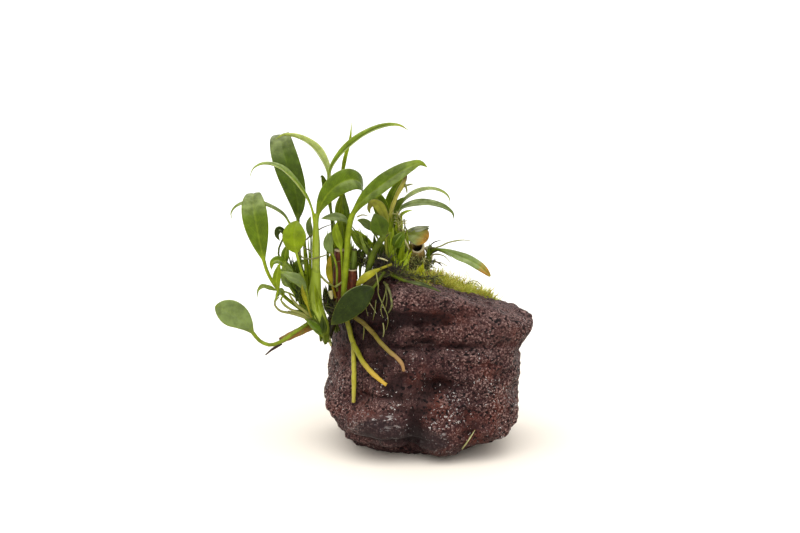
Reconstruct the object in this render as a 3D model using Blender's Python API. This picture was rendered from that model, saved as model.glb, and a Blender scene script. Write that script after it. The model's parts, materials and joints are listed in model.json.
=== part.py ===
"""Anubias on stone: a small creeping water plant grown fast to a block of dark lava.

The stone stands on its flat foot, whose middle is the origin; +Z is up and -Y is the front.
The stone, the creeping stem, the shoots, stumps and roots, the moss and every leaf are solids
of their own, and a hair's gap (TOUCH) is left where one grows from another.

Routes are in millimetres as the front view shows them: (across, up, back). `back` is the depth;
`across` and `up` are measured on the plane through the origin that faces the viewer.
"""
import math
from dataclasses import dataclass

import bmesh
import bpy
import numpy as np

OBJECT_NAME = "anubias_on_stone"
MM = 0.001

# The front view that the routes are written in.
VIEW_TILT = math.radians(12.0)
VIEW_DISTANCE = 900.0
VIEW_AIM = (-10.0, 71.8)

# Stone: a block with blunt edges, about a heart that every flank is measured from.
STONE_HEART = np.array([0.0, 6.0, 33.0])
STONE_EDGE_SHARPNESS = 15.0
STONE_CUTS = 17
# Each flank: the way it faces, and its distance from the heart.
STONE_FLANKS = [
    ((0.04, -1.0, 0.06), 32.0),      # front
    ((0.0, 1.0, 0.12), 31.0),        # back
    ((-1.0, -0.1, -0.04), 37.3),     # left
    ((1.0, 0.0, -0.02), 37.5),       # right
    ((0.32, 0.06, 0.945), 32.1),     # top, sloping down to the right
    ((-0.78, 0.05, 0.62), 38.6),     # upper left, under the plant
    ((-0.80, -0.16, -0.57), 42.5),
    ((0.72, 0.05, -0.70), 41.3),
    ((0.26, -0.25, -1.0), 36.0),     # underside, rising to the right
    ((-0.16, -0.48, -0.88), 36.4),   # underside of the lobe at the left
    ((0.0, 0.0, -1.0), 39.0),        # under the foot, which is cut flat above it
    ((-0.70, -0.71, 0.05), 36.5),
    ((0.66, -0.75, -0.1), 41.0),
    ((0.55, 0.83, 0.1), 39.5),
    ((-0.6, 0.8, 0.1), 39.0),
    ((0.05, -0.70, 0.71), 44.5),
    ((-0.05, 0.7, -0.7), 43.0),
]
# Each swelling or hollow: its middle, its spread along x, y and z, and its height.
STONE_SWELLINGS = [
    ((41, -4, 51), (7, 12, 4.6), 6.0),       # corner block, upper right
    ((38, 0, 41), (6, 14, 4), -3.8),
    ((37, 0, 33), (5, 12, 3.5), 2.2),
    ((36, -4, 26), (6, 12, 5), -3.9),
    ((36, -4, 15), (7, 10, 4), 1.5),
    ((5.5, -20, 7), (6, 8, 7), 4.2),          # knob at the foot
    ((-5, -22, 9), (3, 8, 7), -1.6),
    ((7, -24, 29), (7, 6, 4), -3.0),         # hollow above the knob
    ((-20, -18, 14), (12, 8, 6), 3.4),       # smooth lobe, lower left
    ((-22, -16, 5.0), (14, 8, 1.8), -2.6),   # undercut below the lobe
    ((-16, -14, 1.6), (12, 8, 1.8), 1.6),    # band at the foot
    ((-27, -20, 24), (6, 6, 3), -2.5),
    ((-39, -4, 22), (6, 12, 5.5), 4.2),
    ((-37, -4, 39), (5, 12, 6), -2.0),
    ((-31, -14, 47), (7, 9, 5), -3.5),
    ((-24, -20, 57), (6.5, 10, 8), -5.0),    # shaded flank left of the brow
    ((2, -24, 64.5), (14, 8, 3.4), 2.8),       # brow
    ((0, -26, 57.6), (11, 8, 2.3), -3.6),      # recess under the brow
    ((24, -24, 55), (10, 8, 5), 1.5),
    ((1, -27, 47.5), (6, 6, 1.6), -2.5),     # two level cracks
    ((15, -27, 46), (9, 6, 1.6), -2.8),
    ((8, -27, 41), (14, 7, 4), 1.5),
    ((24, -24, 33), (7, 8, 8), 1.0),
    ((-14, -26, 36), (8, 7, 6), -1.5),
    ((20, 32, 45), (10, 9, 8), -4.0),        # the back
    ((-14, 36, 30), (11, 8, 9), 3.5),
    ((8, 36, 14), (9, 9, 6), -3.0),
    ((26, 28, 22), (9, 9, 8), 3.0),
    ((-28, 26, 52), (9, 9, 7), -3.0),
    ((-6, 30, 60), (10, 8, 6), 2.5),
    ((20, 12, 60), (8, 9, 5), -2.0),
    ((-3, -26, 58), (7.5, 7, 2.2), -2.4),      # the recess runs in deeper at its middle
    ((-17.5, -24, 61), (3.5, 8, 8), -3.4),   # step down from the brow to the shaded flank
    ((-10, -26, 63), (4, 8, 5), 1.6),
    ((-25, -20, 59), (6, 10, 6), -2.4),
    ((5, -27, 31), (4.5, 6, 2.8), -2.4),
    ((10, -26, 25.5), (4.5, 6, 3), 1.8),
    ((-18, -24, 17), (9, 8, 5.5), 1.6),
    ((-3.5, -27, 13), (3, 8, 6), -2.4),      # valley between lobe and knob
    ((18.5, -27, 19), (3.2, 8, 7), -1.8),
    ((26, -24, 13), (4.5, 8, 4.5), 1.5),
    ((-33, -14, 34), (4, 8, 5), -1.4),
    ((-4, -27, 53), (13, 6, 2.4), 1.1),      # ledge above the cracks
]
STONE_RIPPLE = 0.55
STONE_FINE_RIPPLE = 0.40
STONE_LUMP_SPACING = 5.0
STONE_LUMP_HEIGHT = 0.80
STONE_LUMP_SEED = 11

# Moss: a low pad along the far edge of the stone's top.
MOSS_LINE = [(1, 72, 16), (4, 70.8, 18), (8, 69, 20), (15, 65, 23), (24, 59.5, 25)]
MOSS_HALF_WIDTH = 3.6
MOSS_HEIGHT = 2.6

MOSS_RINGS = 12
MOSS_SIDES = 8

TOUCH = 0.72            # room left between a root or the moss and the stone
LEAF_THICKNESS = 0.6    # of a blade at its middle line
LEAF_SIDES = 6
STALK_STEP = 13.0       # wanted run between two rings of a stalk
BLADE_STEP = 3.5        # and of a blade
STALK_RINGS = (2, 5)    # fewest and most
BLADE_RINGS = (5, 10)
STEM_SIDES_SETTING = 1  # gives a stem six sides
STEM_STATIONS = 7


@dataclass
class Leaf:
    """One leaf: a round stalk that opens into a blade. Its upper face looks at the viewer at roll 0."""
    name: str
    finish: str
    half_width: float
    stalk: list
    blade: list
    roll: float = 0.0
    twist: float = 0.0
    fold: float = 0.1
    widest: float = 0.45
    fullness: float = 0.85
    stalk_radius: float = 0.55


@dataclass
class Stem:
    """One round piece: its route and its radii at equal steps along it."""
    name: str
    finish: str
    route: list
    radii: list
    on_stone: bool = False


LEAVES = [
    Leaf("leaf_front_tall", "mid", 4.6,
         [(-42.8, 71.6, -9), (-42.8, 80, -8.5), (-43, 92.4, -8)],
         [(-41.2, 97.2, -8.5), (-38, 101.8, -8.5), (-34, 105, -7), (-29.4, 106.6, -4),
          (-25.8, 105.2, 0), (-25.2, 101.2, 3.5), (-26.6, 98.2, 5)],
         roll=-8, fold=0.12, widest=0.52, fullness=0.8, stalk_radius=0.85),
    Leaf("leaf_arch_left", "mid", 2.6,
         [(-44.5, 71.6, -10.2), (-44.5, 80, -10.2), (-44.4, 91.6, -9.5)],
         [(-46.2, 97.2, -10), (-49.4, 102.4, -10.5), (-53.4, 107.2, -11), (-57.4, 110.8, -11),
          (-61.8, 112.6, -11), (-65.8, 112.6, -11), (-68.8, 110.8, -11), (-70, 107.8, -11)],
         roll=76, fold=0.35, widest=0.5, stalk_radius=0.7),
    Leaf("leaf_tall_dark", "dark", 5.2,
         [(-42.8, 51.2, 0), (-47.6, 60.8, 3.5), (-50, 74.4, 6), (-50.8, 90.8, 7)],
         [(-50.8, 95.6, 7.5), (-52.2, 103.2, 8.5), (-54.6, 110.8, 10.5), (-56.8, 118, 14),
          (-57.8, 122.8, 19), (-57.6, 124.6, 25), (-56.8, 122.8, 31), (-56, 118.4, 34)],
         roll=0, fold=0.1, widest=0.42, stalk_radius=0.7),
    Leaf("leaf_left_upright", "mid", 5.0,
         [(-50.4, 55.2, -6), (-56.4, 60, -8), (-60.4, 64.8, -8.5), (-63.2, 70, -8.5),
          (-64.4, 74, -8.5)],
         [(-65.6, 79.2, -8), (-67, 86, -7), (-68.2, 92.8, -5), (-68.8, 98, -0.5), (-68.6, 101, 5),
          (-68, 100, 10)],
         roll=0, fold=0.08, widest=0.5, stalk_radius=0.7),
    Leaf("leaf_arch_behind", "mid", 2.4,
         [(-41.6, 52, 4), (-47.6, 63.2, 9), (-50.4, 74.4, 13), (-52.4, 83.2, 15), (-54, 88.8, 16)],
         [(-56.6, 92.4, 17), (-60.2, 94.8, 17), (-64.8, 96.6, 17), (-69.6, 97.2, 17),
          (-73.4, 96.8, 16.5), (-76.2, 95.2, 16), (-77.6, 92.8, 15.5), (-77.2, 90.8, 15)],
         roll=72, fold=0.3),
    Leaf("leaf_arch_top", "pale", 2.8,
         [(-33.6, 60.8, 2), (-36, 73.6, 8), (-37.2, 88.4, 12), (-38.4, 104.4, 13)],
         [(-39, 110.4, 13.5), (-41, 115.2, 14), (-44.2, 119.4, 14.5), (-48.2, 122.4, 14),
          (-52.4, 124, 13.2), (-56.6, 124.4, 12.4), (-59.8, 122.8, 12)],
         roll=122, fold=0.25),
    Leaf("leaf_right_reaching", "mid", 2.2,
         [(-32.4, 62.4, 1), (-34.4, 73.6, 3.5), (-36.4, 88.4, 4.5), (-39, 105.2, 3)],
         [(-37.4, 111, 2.5), (-34, 116.2, 2), (-29.2, 120.8, 1), (-23.6, 124.8, 0),
          (-18.6, 127.2, -1), (-14, 128.4, -2), (-10, 128.2, -3), (-6.6, 126.2, -4)],
         roll=-55, fold=0.45, widest=0.42),
    Leaf("leaf_young_rolled", "fresh", 0.9,
         [(-32, 70.4, 3), (-33.6, 82.4, 4), (-34, 93.2, 5), (-33.6, 102.4, 6), (-33.2, 108.8, 7)],
         [(-32.4, 114.4, 7), (-31.2, 119.2, 7), (-30, 123.2, 7), (-29.6, 126.4, 7),
          (-29.4, 129.6, 7)],
         roll=30, fold=1.2, widest=0.3),
    Leaf("leaf_tip_hidden", "dark", 1.5,
         [(-36, 70.4, -0.5), (-36.8, 82.4, -1.5), (-38, 96.4, -2)],
         [(-39.2, 101.6, -2.5), (-40.4, 106, -3), (-41.4, 108, -3.5), (-42, 107.2, -4)],
         roll=0, fold=0.2),
    Leaf("leaf_big_right", "mid", 4.3,
         [(-32.4, 62.4, -12.5), (-31.6, 72.4, -12), (-31, 80.4, -10), (-30.4, 87.2, -10),
          (-29.2, 92, -10)],
         [(-27.2, 95.3, -10.5), (-23.6, 99.4, -11), (-19.2, 102.9, -11.5), (-14.8, 106.2, -12),
          (-10.4, 109.2, -12), (-6, 111.7, -11.5), (-2, 113.2, -11), (1, 111.4, -11)],
         roll=-38, fold=0.15, widest=0.5, stalk_radius=1.15),
    Leaf("leaf_mid_right_back", "mid", 3.0,
         [(-15.8, 80, -3), (-16, 86.4, -0.5)],
         [(-16.8, 92.8, 0), (-18.6, 98, -0.5), (-20.8, 101.6, -1.5), (-22.4, 104.8, -2.5)],
         roll=-5, fold=0.1),
    Leaf("leaf_mid_right_lit", "mid", 2.3,
         [(-13.6, 73.6, 1.5), (-13.6, 80, 2.5), (-14.4, 87.2, 3.5)],
         [(-14.2, 95.2, 3), (-12.8, 100.4, 2.5), (-10.4, 105.2, 2), (-8.4, 108, 1)],
         roll=0, fold=0.1),
    Leaf("leaf_curled_brown", "yellow", 2.0,
         [(-15.2, 75.2, -10), (-15.6, 82.4, -10), (-15.2, 88, -12)],
         [(-16.8, 93.2, -14), (-18.8, 96.4, -15), (-21.2, 97.2, -16), (-22.4, 95.2, -16.5),
          (-21.8, 92.8, -16.5)],
         roll=10, fold=0.1),
    Leaf("leaf_round_dark", "dark", 3.7,
         [(-22.4, 71.2, -15), (-20.8, 76.4, -15), (-18.4, 81.2, -16), (-16.8, 83.8, -16)],
         [(-17.8, 86.8, -16.5), (-19, 90, -16.5), (-20.4, 93, -15.5)],
         roll=0, fold=0.08, stalk_radius=1.25),
    Leaf("leaf_right_upper_arch", "grey", 1.9,
         [(-10.8, 72.8, 4), (-11.6, 79.2, 7), (-11.6, 87.2, 8), (-10.8, 94, 8)],
         [(-8.8, 97.6, 8), (-5.8, 100.2, 8), (-1.8, 102, 8), (2.4, 102.8, 8), (6.4, 102, 7.5),
          (9.2, 100, 7), (10, 98, 7), (9.8, 96.6, 7)],
         roll=-62, fold=0.3, widest=0.34),
    Leaf("leaf_right_lower_arch", "dark", 2.6,
         [(-12, 73.2, 1), (-12.4, 80, 4), (-12.4, 86.4, 4), (-11.6, 92, 4)],
         [(-9.6, 94.8, 4), (-6, 96.4, 4), (-0.8, 97, 4), (4, 96.6, 3.5), (8.2, 95.2, 3),
          (11.2, 92.8, 2.5), (11.4, 90.8, 2)],
         roll=-58, fold=0.25, widest=0.45),
    Leaf("leaf_small_dark_top", "dark", 1.3,
         [(-11.6, 77.6, -1.5), (-12, 87.2, -1), (-12.2, 92.8, -1)],
         [(-11.2, 96, -1), (-9.6, 98.2, -1), (-7.6, 99.6, -1)],
         roll=0, fold=0.2),
    Leaf("leaf_yellow_curl", "fresh", 1.0,
         [(-9.6, 76.6, -3.5), (-10.2, 82.4, -4.5), (-10.6, 87.2, -5)],
         [(-10.2, 90.8, -5), (-8.8, 93, -5), (-6.8, 94, -5), (-4.8, 94.4, -5)],
         roll=-50, fold=0.3),
    Leaf("leaf_dying_tip", "dying", 4.3,
         [(-9.2, 73.2, 6), (-10.4, 77.6, 6), (-10.2, 82, 5)],
         [(-8.2, 83.8, 4), (-5, 84.4, 3), (-1.8, 83.6, 2), (1, 82.2, 1)],
         roll=-30, fold=0.12, widest=0.72, fullness=0.5),
    Leaf("leaf_low_right", "tipped", 2.6,
         [(2, 76.2, 7), (3.2, 78.4, 5), (6, 78.6, 3)],
         [(10, 77.4, 1.5), (14, 75.7, 0), (18, 74, -1.5), (22, 71.6, -3), (26.2, 67.8, -4)],
         roll=-42, fold=0.12, widest=0.55, fullness=0.5),
    Leaf("leaf_on_stone", "dark", 1.1,
         [(-11.6, 67.6, -19), (-8.4, 66.2, -22)],
         [(-4, 65.2, -24), (1.2, 63.8, -25), (6.4, 61.6, -25.5)],
         roll=-50, fold=0.2),
    Leaf("leaf_yellow_old", "yellow", 1.5,
         [(-15.6, 71.8, -17), (-17.6, 71, -17.5)],
         [(-21.2, 69.2, -18.5), (-24.8, 66.8, -19), (-27.4, 64, -19)],
         roll=180, fold=0.1, widest=0.6, fullness=0.5),
    Leaf("leaf_front_dark", "deep", 4.9,
         [(-17.6, 67.6, -18.5), (-19.2, 65.2, -19.5), (-20.6, 63.4, -20.5)],
         [(-24.4, 60.8, -22), (-28.8, 57.2, -23), (-33.2, 52.8, -23), (-37.6, 48.4, -21)],
         roll=180, fold=-0.08, widest=0.42),
    Leaf("leaf_far_left", "greyed", 5.1,
         [(-47.2, 48.8, -13.5), (-52, 45.6, -15.5), (-57.6, 41.8, -15.5), (-62, 40.4, -15),
          (-66, 42, -14.5), (-68.8, 45.2, -14)],
         [(-71.4, 48.6, -13.5), (-74.4, 51.4, -13), (-78.4, 53.6, -12), (-84, 55.8, -10.5)],
         roll=0, fold=0.06, widest=0.6, fullness=0.62, stalk_radius=0.75),
    Leaf("leaf_ovate_light", "light", 4.6,
         [(-47, 59.8, -13.5), (-48.7, 67.2, -15.2), (-50.4, 73.2, -17), (-51.4, 77.2, -17.5)],
         [(-52.2, 81.2, -18), (-52.2, 85.6, -17.5), (-51.2, 90.2, -15.5)],
         roll=0, fold=0.08, widest=0.5, fullness=0.7),
    Leaf("leaf_small_hook", "deep", 1.3,
         [(-48, 57.2, -6), (-53.2, 66.4, -6.5), (-57.6, 73.6, -7.5), (-58.6, 76.8, -8),
          (-58.2, 80, -8.5), (-56.6, 83.2, -9)],
         [(-56.8, 85.8, -9.5), (-58.4, 86.6, -10), (-59.2, 84.8, -10), (-58, 82, -10)],
         roll=20, fold=0.2, stalk_radius=0.4),
    Leaf("leaf_small_upright", "mid", 1.6,
         [(-47.6, 56, -8), (-51.6, 63.2, -8), (-54.8, 70.4, -9), (-55.6, 72.8, -9.5)],
         [(-56, 75.6, -10), (-55.6, 78.4, -10), (-54.8, 80.8, -10)],
         roll=0, fold=0.1, stalk_radius=0.4),
    Leaf("leaf_small_folded", "mid", 1.8,
         [(-47.9, 58.4, -11.6), (-49.8, 63.2, -13), (-52.8, 69.2, -13)],
         [(-56.4, 72.8, -12.5), (-59.2, 74.4, -13), (-60.8, 73.6, -13.5), (-61.4, 70.4, -14)],
         roll=35, fold=0.2, stalk_radius=0.45),
    Leaf("leaf_small_bright", "bright", 1.6,
         [(-46.8, 52.6, -12.5), (-50, 53, -12.5), (-54.4, 53.4, -13), (-58.4, 54.4, -14),
          (-60.2, 56.8, -14.5), (-59.4, 59.6, -15), (-58.8, 62.4, -15.5)],
         [(-59.4, 66, -16), (-59, 69.6, -16), (-58, 73.2, -15.5)],
         roll=0, fold=0.15, stalk_radius=0.4),
    Leaf("leaf_small_sheen", "greyed", 2.3,
         [(-46.4, 56.8, -14.5), (-47.6, 62, -16.6)],
         [(-50.4, 66.2, -17.8), (-54, 68, -18.2), (-58, 69.8, -18)],
         roll=30, fold=0.05, stalk_radius=0.4),
    Leaf("leaf_small_hanging", "dark", 1.7,
         [(-46, 62.4, -6.5), (-47.6, 68, -6), (-49.6, 69.4, -8)],
         [(-50.6, 66.4, -10), (-51.2, 62.8, -11), (-51.4, 59.2, -11)],
         roll=180, fold=-0.1, stalk_radius=0.35),
    Leaf("leaf_small_back_a", "greyed", 1.5,
         [(-48, 58.4, -4), (-52.4, 64, -3.5), (-53.6, 69.2, -4.5)],
         [(-51.6, 72.2, -5), (-48.8, 73.6, -5.5), (-46.4, 73.6, -6)],
         roll=-20, fold=0.1, stalk_radius=0.35),
    Leaf("leaf_small_drooping", "bright", 1.5,
         [(-46.6, 53.4, -10), (-49.6, 56.8, -9), (-53.6, 60.8, -10.5), (-57.2, 62, -11.5),
          (-59.6, 62.4, -12)],
         [(-62.8, 63.4, -12.5), (-65.2, 63.6, -13), (-66.6, 62.4, -13), (-67, 59.2, -13)],
         roll=55, fold=0.2, twist=-60, stalk_radius=0.35),
    Leaf("leaf_small_strip", "greyed", 1.0,
         [(-47.2, 53.2, -8.5), (-50, 54, -9), (-53.6, 54.6, -9.5), (-56.4, 56.4, -10),
          (-57.6, 58.4, -10.5), (-56.4, 61.2, -12)],
         [(-57.6, 62.4, -12.5), (-58.6, 61.2, -12.5), (-59.8, 58.8, -12.5)],
         roll=0, fold=0.1, stalk_radius=0.35),
    Leaf("leaf_narrow", "yellow", 0.8,
         [(-46.2, 53.6, -16.5), (-46.8, 55.6, -17)],
         [(-47.8, 58.4, -17.5), (-48.8, 61.6, -18.4), (-49.2, 64.6, -19.2)],
         roll=0, fold=0.3, stalk_radius=0.35),
    Leaf("leaf_small_grey", "greyed", 1.3,
         [(-44.8, 60, -4), (-45.6, 70.4, -1), (-45.6, 80.4, -1), (-45.6, 83.2, -1)],
         [(-46.2, 86.4, -1.5), (-46.4, 89.6, -1.5), (-45.6, 92, -1)],
         roll=0, fold=0.1, stalk_radius=0.35),
    Leaf("leaf_centre_grey", "greyed", 2.0,
         [(-35.2, 64.4, -8.5), (-35.6, 72.8, -8), (-37, 76.8, -7.5)],
         [(-38.6, 80, -7), (-38.2, 83.2, -6.5), (-35.8, 86.2, -6)],
         roll=0, fold=0.1, stalk_radius=0.45),
    Leaf("leaf_centre_spindle", "greyed", 2.0,
         [(-31.6, 67.2, -4), (-31.6, 78.4, -4), (-30.8, 88.8, -4.5)],
         [(-32.8, 91, -5), (-36.8, 91.6, -5.5), (-41.6, 91, -5.5)],
         roll=35, fold=0.1, stalk_radius=0.45),
    Leaf("leaf_centre_bright", "bright", 1.7,
         [(-33.2, 64.8, -0.5), (-33.2, 78.4, 0), (-34, 88.8, 0)],
         [(-34.4, 93.6, 0), (-33.8, 97.6, 0), (-32.4, 102, 0)],
         roll=0, fold=0.1, stalk_radius=0.45),
    Leaf("leaf_centre_slim", "dark", 1.2,
         [(-30.4, 64.8, -3), (-30.6, 78.4, -1), (-30.8, 87.2, -2)],
         [(-31.2, 92.8, -2), (-32.2, 98, -2.5), (-32.6, 102.4, -2.5)],
         roll=0, fold=0.1, stalk_radius=0.45),
    Leaf("leaf_centre_low", "bright", 1.8,
         [(-33, 65.2, -9), (-33.2, 73.6, -8.5), (-33.6, 78.4, -8)],
         [(-34.6, 82, -7.5), (-35.6, 85.6, -7.5), (-35.2, 89.6, -7.5)],
         roll=0, fold=0.1, stalk_radius=0.45),
    Leaf("leaf_centre_right", "mid", 1.5,
         [(-19.2, 71.6, -6.5), (-21.6, 77.2, -6)],
         [(-25.2, 80, -7), (-28, 83.6, -7.5), (-30.2, 88, -8)],
         roll=0, fold=0.15, stalk_radius=0.45),
    Leaf("leaf_centre_strip", "fresh", 1.2,
         [(-16.4, 72, -4), (-19.2, 77.6, -1.5)],
         [(-22.4, 81.2, -2), (-25.6, 84.4, -2), (-28.8, 86.8, -2)],
         roll=0, fold=0.15, stalk_radius=0.4),
    Leaf("leaf_centre_dark", "greyed", 1.7,
         [(-15.6, 73.6, 0), (-18, 81.2, 0), (-20.8, 86, 0)],
         [(-22.8, 88.4, 0), (-24.8, 89.8, 0), (-27.2, 90.4, 0)],
         roll=0, fold=0.1, stalk_radius=0.4),
    Leaf("sheath_old", "orange", 1.3,
         [(-36.4, 61.6, -8), (-37.2, 64.4, -8)],
         [(-38.2, 68.4, -8.5), (-38.4, 72.8, -9), (-37.8, 76.6, -9.2)],
         roll=0, fold=0.2, stalk_radius=0.5),
]

STEMS = [
    Stem("stalk_old", "stalk",
         [(-14, 75.6, -0.5), (-14, 80, -1), (-14.4, 86.4, -2), (-13.8, 92.4, -3),
          (-12.4, 97.6, -4), (-10.4, 102, -4.5), (-8.6, 105.2, -5), (-7.8, 107.6, -5),
          (-7.8, 109.8, -5)],
         [1.0, 0.95, 0.9, 0.85, 0.85, 0.8, 0.95, 0.5]),
    Stem("stump_tall", "stump",
         [(-34.6, 58, -5), (-34.6, 64.8, -4.5), (-34.4, 72.4, -4), (-34.2, 78.8, -4)],
         [1.9, 2.2, 2.2, 2.0]),
    Stem("stump_cut", "stump",
         [(-29.2, 62.4, -9), (-29.2, 66, -9), (-29.2, 70.6, -9)],
         [1.8, 1.9, 1.8]),
    Stem("stump_straw", "stump_straw",
         [(-2.7, 77, 8), (-3, 78.4, 7.5), (-3.2, 80.6, 7)],
         [2.4, 2.9, 3.0]),
    Stem("shoot_stub", "greenstub",
         [(-28.8, 71.6, -9), (-28.4, 75.2, -9.5), (-28.2, 78.8, -10)],
         [1.2, 1.3, 0.9]),
    Stem("stub_orange", "stub",
         [(-45.6, 47.8, -10), (-49.2, 46.2, -11), (-53.6, 44.2, -12), (-58, 42, -13)],
         [1.6, 1.6, 1.5, 1.2]),
    Stem("root_dead", "dead",
         [(-58.6, 40.2, -13), (-61.2, 38.6, -13), (-63.8, 36.4, -13)],
         [0.6, 0.5, 0.25]),
    Stem("root_yellow", "root",
         [(-31.6, 52, -9), (-30.4, 47.2, -9), (-29, 42, 0), (-27, 37.6, 0), (-23.6, 32, 0),
          (-19.6, 27.8, 0), (-15.4, 24.4, 0)],
         [1.1, 1.0, 1.0, 1.0, 0.95, 0.95, 0.7], on_stone=True),
    Stem("root_straight", "root",
         [(-28.6, 36.8, 0), (-28.4, 30.4, 0), (-28.4, 23.2, 0), (-28.6, 17.6, 0)],
         [0.9, 0.95, 0.95, 0.7], on_stone=True),
    Stem("root_brown", "root",
         [(-28.8, 52, -9), (-24.8, 49.2, 0), (-20.8, 45.2, 0), (-17.6, 41.2, 0), (-14.4, 38, 0),
          (-11.2, 35.2, 0), (-9.2, 32.8, 0), (-8.6, 30.2, 0)],
         [0.9, 0.95, 0.9, 0.85, 0.85, 0.85, 0.8, 0.6], on_stone=True),
    Stem("crown_left", "crown",
         [(-39.8, 43, -10), (-41.2, 48, -10.5), (-43.4, 54, -11), (-44.2, 59.6, -10.5),
          (-43.8, 65.2, -10), (-43.6, 70.4, -9.6)],
         [1.2, 2.8, 3.1, 3.0, 2.3, 1.7]),
    Stem("crown_right", "crown",
         [(-13.3, 75.2, -6.4), (-14, 77.6, -6.8), (-14, 81, -6.6), (-14, 85.6, -6)],
         [2.2, 2.8, 2.3, 1.6]),
    Stem("rhizome", "rhizome",
         [(-38.8, 43.6, -6), (-37.6, 48.8, -4.5), (-34.8, 54.4, -5), (-30, 57.2, -9),
          (-24.4, 62.4, -12.5), (-19.6, 67.2, -14.5), (-15.6, 69.6, -13.5), (-11.6, 71.4, -7),
          (-8.4, 72.2, 0), (-4.6, 72.6, 6), (-1.4, 72.8, 8), (1.6, 73.6, 8.5)],
         [1.4, 2.0, 2.0, 2.0, 2.0, 1.9, 1.8, 2.0, 2.3, 3.0, 3.1, 2.0]),
]

# Base colour (linear red, green, blue) and roughness of each finish.
FINISHES = {
    "stone": ((0.085, 0.040, 0.036), 0.45),
    "moss": ((0.42, 0.45, 0.06), 0.9),
    "mid": ((0.10, 0.20, 0.025), 0.3),
    "dark": ((0.035, 0.085, 0.018), 0.3),
    "deep": ((0.016, 0.045, 0.012), 0.3),
    "pale": ((0.32, 0.40, 0.10), 0.35),
    "fresh": ((0.30, 0.42, 0.03), 0.35),
    "bright": ((0.15, 0.30, 0.02), 0.3),
    "light": ((0.20, 0.27, 0.02), 0.3),
    "grey": ((0.22, 0.29, 0.13), 0.3),
    "greyed": ((0.12, 0.19, 0.08), 0.3),
    "yellow": ((0.38, 0.36, 0.02), 0.4),
    "dying": ((0.22, 0.22, 0.04), 0.4),
    "tipped": ((0.10, 0.24, 0.02), 0.3),
    "orange": ((0.40, 0.28, 0.02), 0.4),
    "stalk": ((0.36, 0.25, 0.09), 0.5),
    "stump": ((0.12, 0.035, 0.018), 0.5),
    "greenstub": ((0.14, 0.18, 0.02), 0.4),
    "stump_straw": ((0.42, 0.34, 0.13), 0.5),
    "stub": ((0.34, 0.17, 0.03), 0.5),
    "dead": ((0.03, 0.015, 0.01), 0.6),
    "root": ((0.42, 0.38, 0.03), 0.4),
    "crown": ((0.20, 0.27, 0.03), 0.35),
    "rhizome": ((0.07, 0.045, 0.015), 0.5),
}

ACROSS = np.array([1.0, 0.0, 0.0])
UP = np.array([0.0, math.sin(VIEW_TILT), math.cos(VIEW_TILT)])
SIGHT = np.array([0.0, math.cos(VIEW_TILT), -math.sin(VIEW_TILT)])
EYE = VIEW_AIM[0] * ACROSS + VIEW_AIM[1] * UP - VIEW_DISTANCE * SIGHT


def seen_point(across, up, back):
    """The point at depth `back` on the sight line through (across, up) of the front view."""
    on_plane = across * ACROSS + up * UP
    share = (back - EYE[1]) / (on_plane[1] - EYE[1])
    return EYE + share * (on_plane - EYE)


def seen_points(route):
    return np.array([seen_point(*point) for point in route])


def unit(vectors):
    return vectors / np.linalg.norm(vectors, axis=-1, keepdims=True)


def scatter(cells, seed):
    """A fixed random value from 0 to 1 for each whole-number cell, by mixing its bits."""
    cells = cells.astype(np.int64).astype(np.uint32)
    mixed = cells[..., 0] * np.uint32(73856093) ^ cells[..., 1] * np.uint32(19349663)
    mixed ^= cells[..., 2] * np.uint32(83492791) ^ np.uint32(seed * 40503 + 977)
    mixed ^= mixed >> np.uint32(13)
    mixed *= np.uint32(1274126177)
    mixed ^= mixed >> np.uint32(16)
    return mixed / 4294967295.0


def lattice_noise(places, seed):
    """Smooth noise from -1 to 1: values at lattice corners, blended with 3t^2 - 2t^3 weights."""
    cell = np.floor(places)
    inside = places - cell
    weight = inside * inside * (3.0 - 2.0 * inside)
    total = np.zeros(places.shape[:-1])
    for corner in np.ndindex(2, 2, 2):
        corner = np.array(corner)
        share = np.where(corner == 1, weight, 1.0 - weight).prod(axis=-1)
        total += share * scatter(cell + corner, seed)
    return 2.0 * total - 1.0


def stone_reach(directions):
    """Distance from the stone's heart to its face in each direction.

    The flanks blend as (sum of (n.d / c) ** k) ** (-1 / k); bell-shaped swellings, two crossed
    ripples and lumps of smooth noise are added to that.
    """
    directions = unit(directions)
    total = np.zeros(directions.shape[:-1])
    for facing, distance in STONE_FLANKS:
        nearness = directions @ unit(np.array(facing)) / distance
        total += np.maximum(0.0, nearness) ** STONE_EDGE_SHARPNESS
    plain = total ** (-1.0 / STONE_EDGE_SHARPNESS)
    places = STONE_HEART + directions * plain[..., None]
    swelling = np.zeros(plain.shape)
    for middle, spread, height in STONE_SWELLINGS:
        offset = (places - np.array(middle)) / np.array(spread)
        swelling += height * np.exp(-0.5 * (offset ** 2).sum(axis=-1))
    x, y, z = np.moveaxis(places / 10.0, -1, 0)
    coarse = np.sin(2.1 * x + 1.3 * z + 0.7) * np.sin(1.7 * y - 2.3 * z)
    fine = np.sin(3.9 * x - 2.9 * y) * np.sin(4.3 * z + 2.2 * x + 1.0)
    ripples = STONE_RIPPLE * coarse + STONE_FINE_RIPPLE * fine
    lumps = STONE_LUMP_HEIGHT * lattice_noise(places / STONE_LUMP_SPACING, STONE_LUMP_SEED)
    return plain + swelling + ripples + lumps


def clear_of_stone(across, up, back, room):
    """The seen point, brought forward where the stone would be nearer than `room`."""
    depths = np.arange(back, STONE_HEART[1] - 45.0, -0.1)
    places = np.array([seen_point(across, up, depth) for depth in depths])
    offsets = places - STONE_HEART
    free = np.linalg.norm(offsets, axis=1) - stone_reach(offsets) >= room
    behind_is_free = np.flip(np.logical_and.accumulate(np.flip(free)))
    return places[np.argmax(behind_is_free)]


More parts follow.
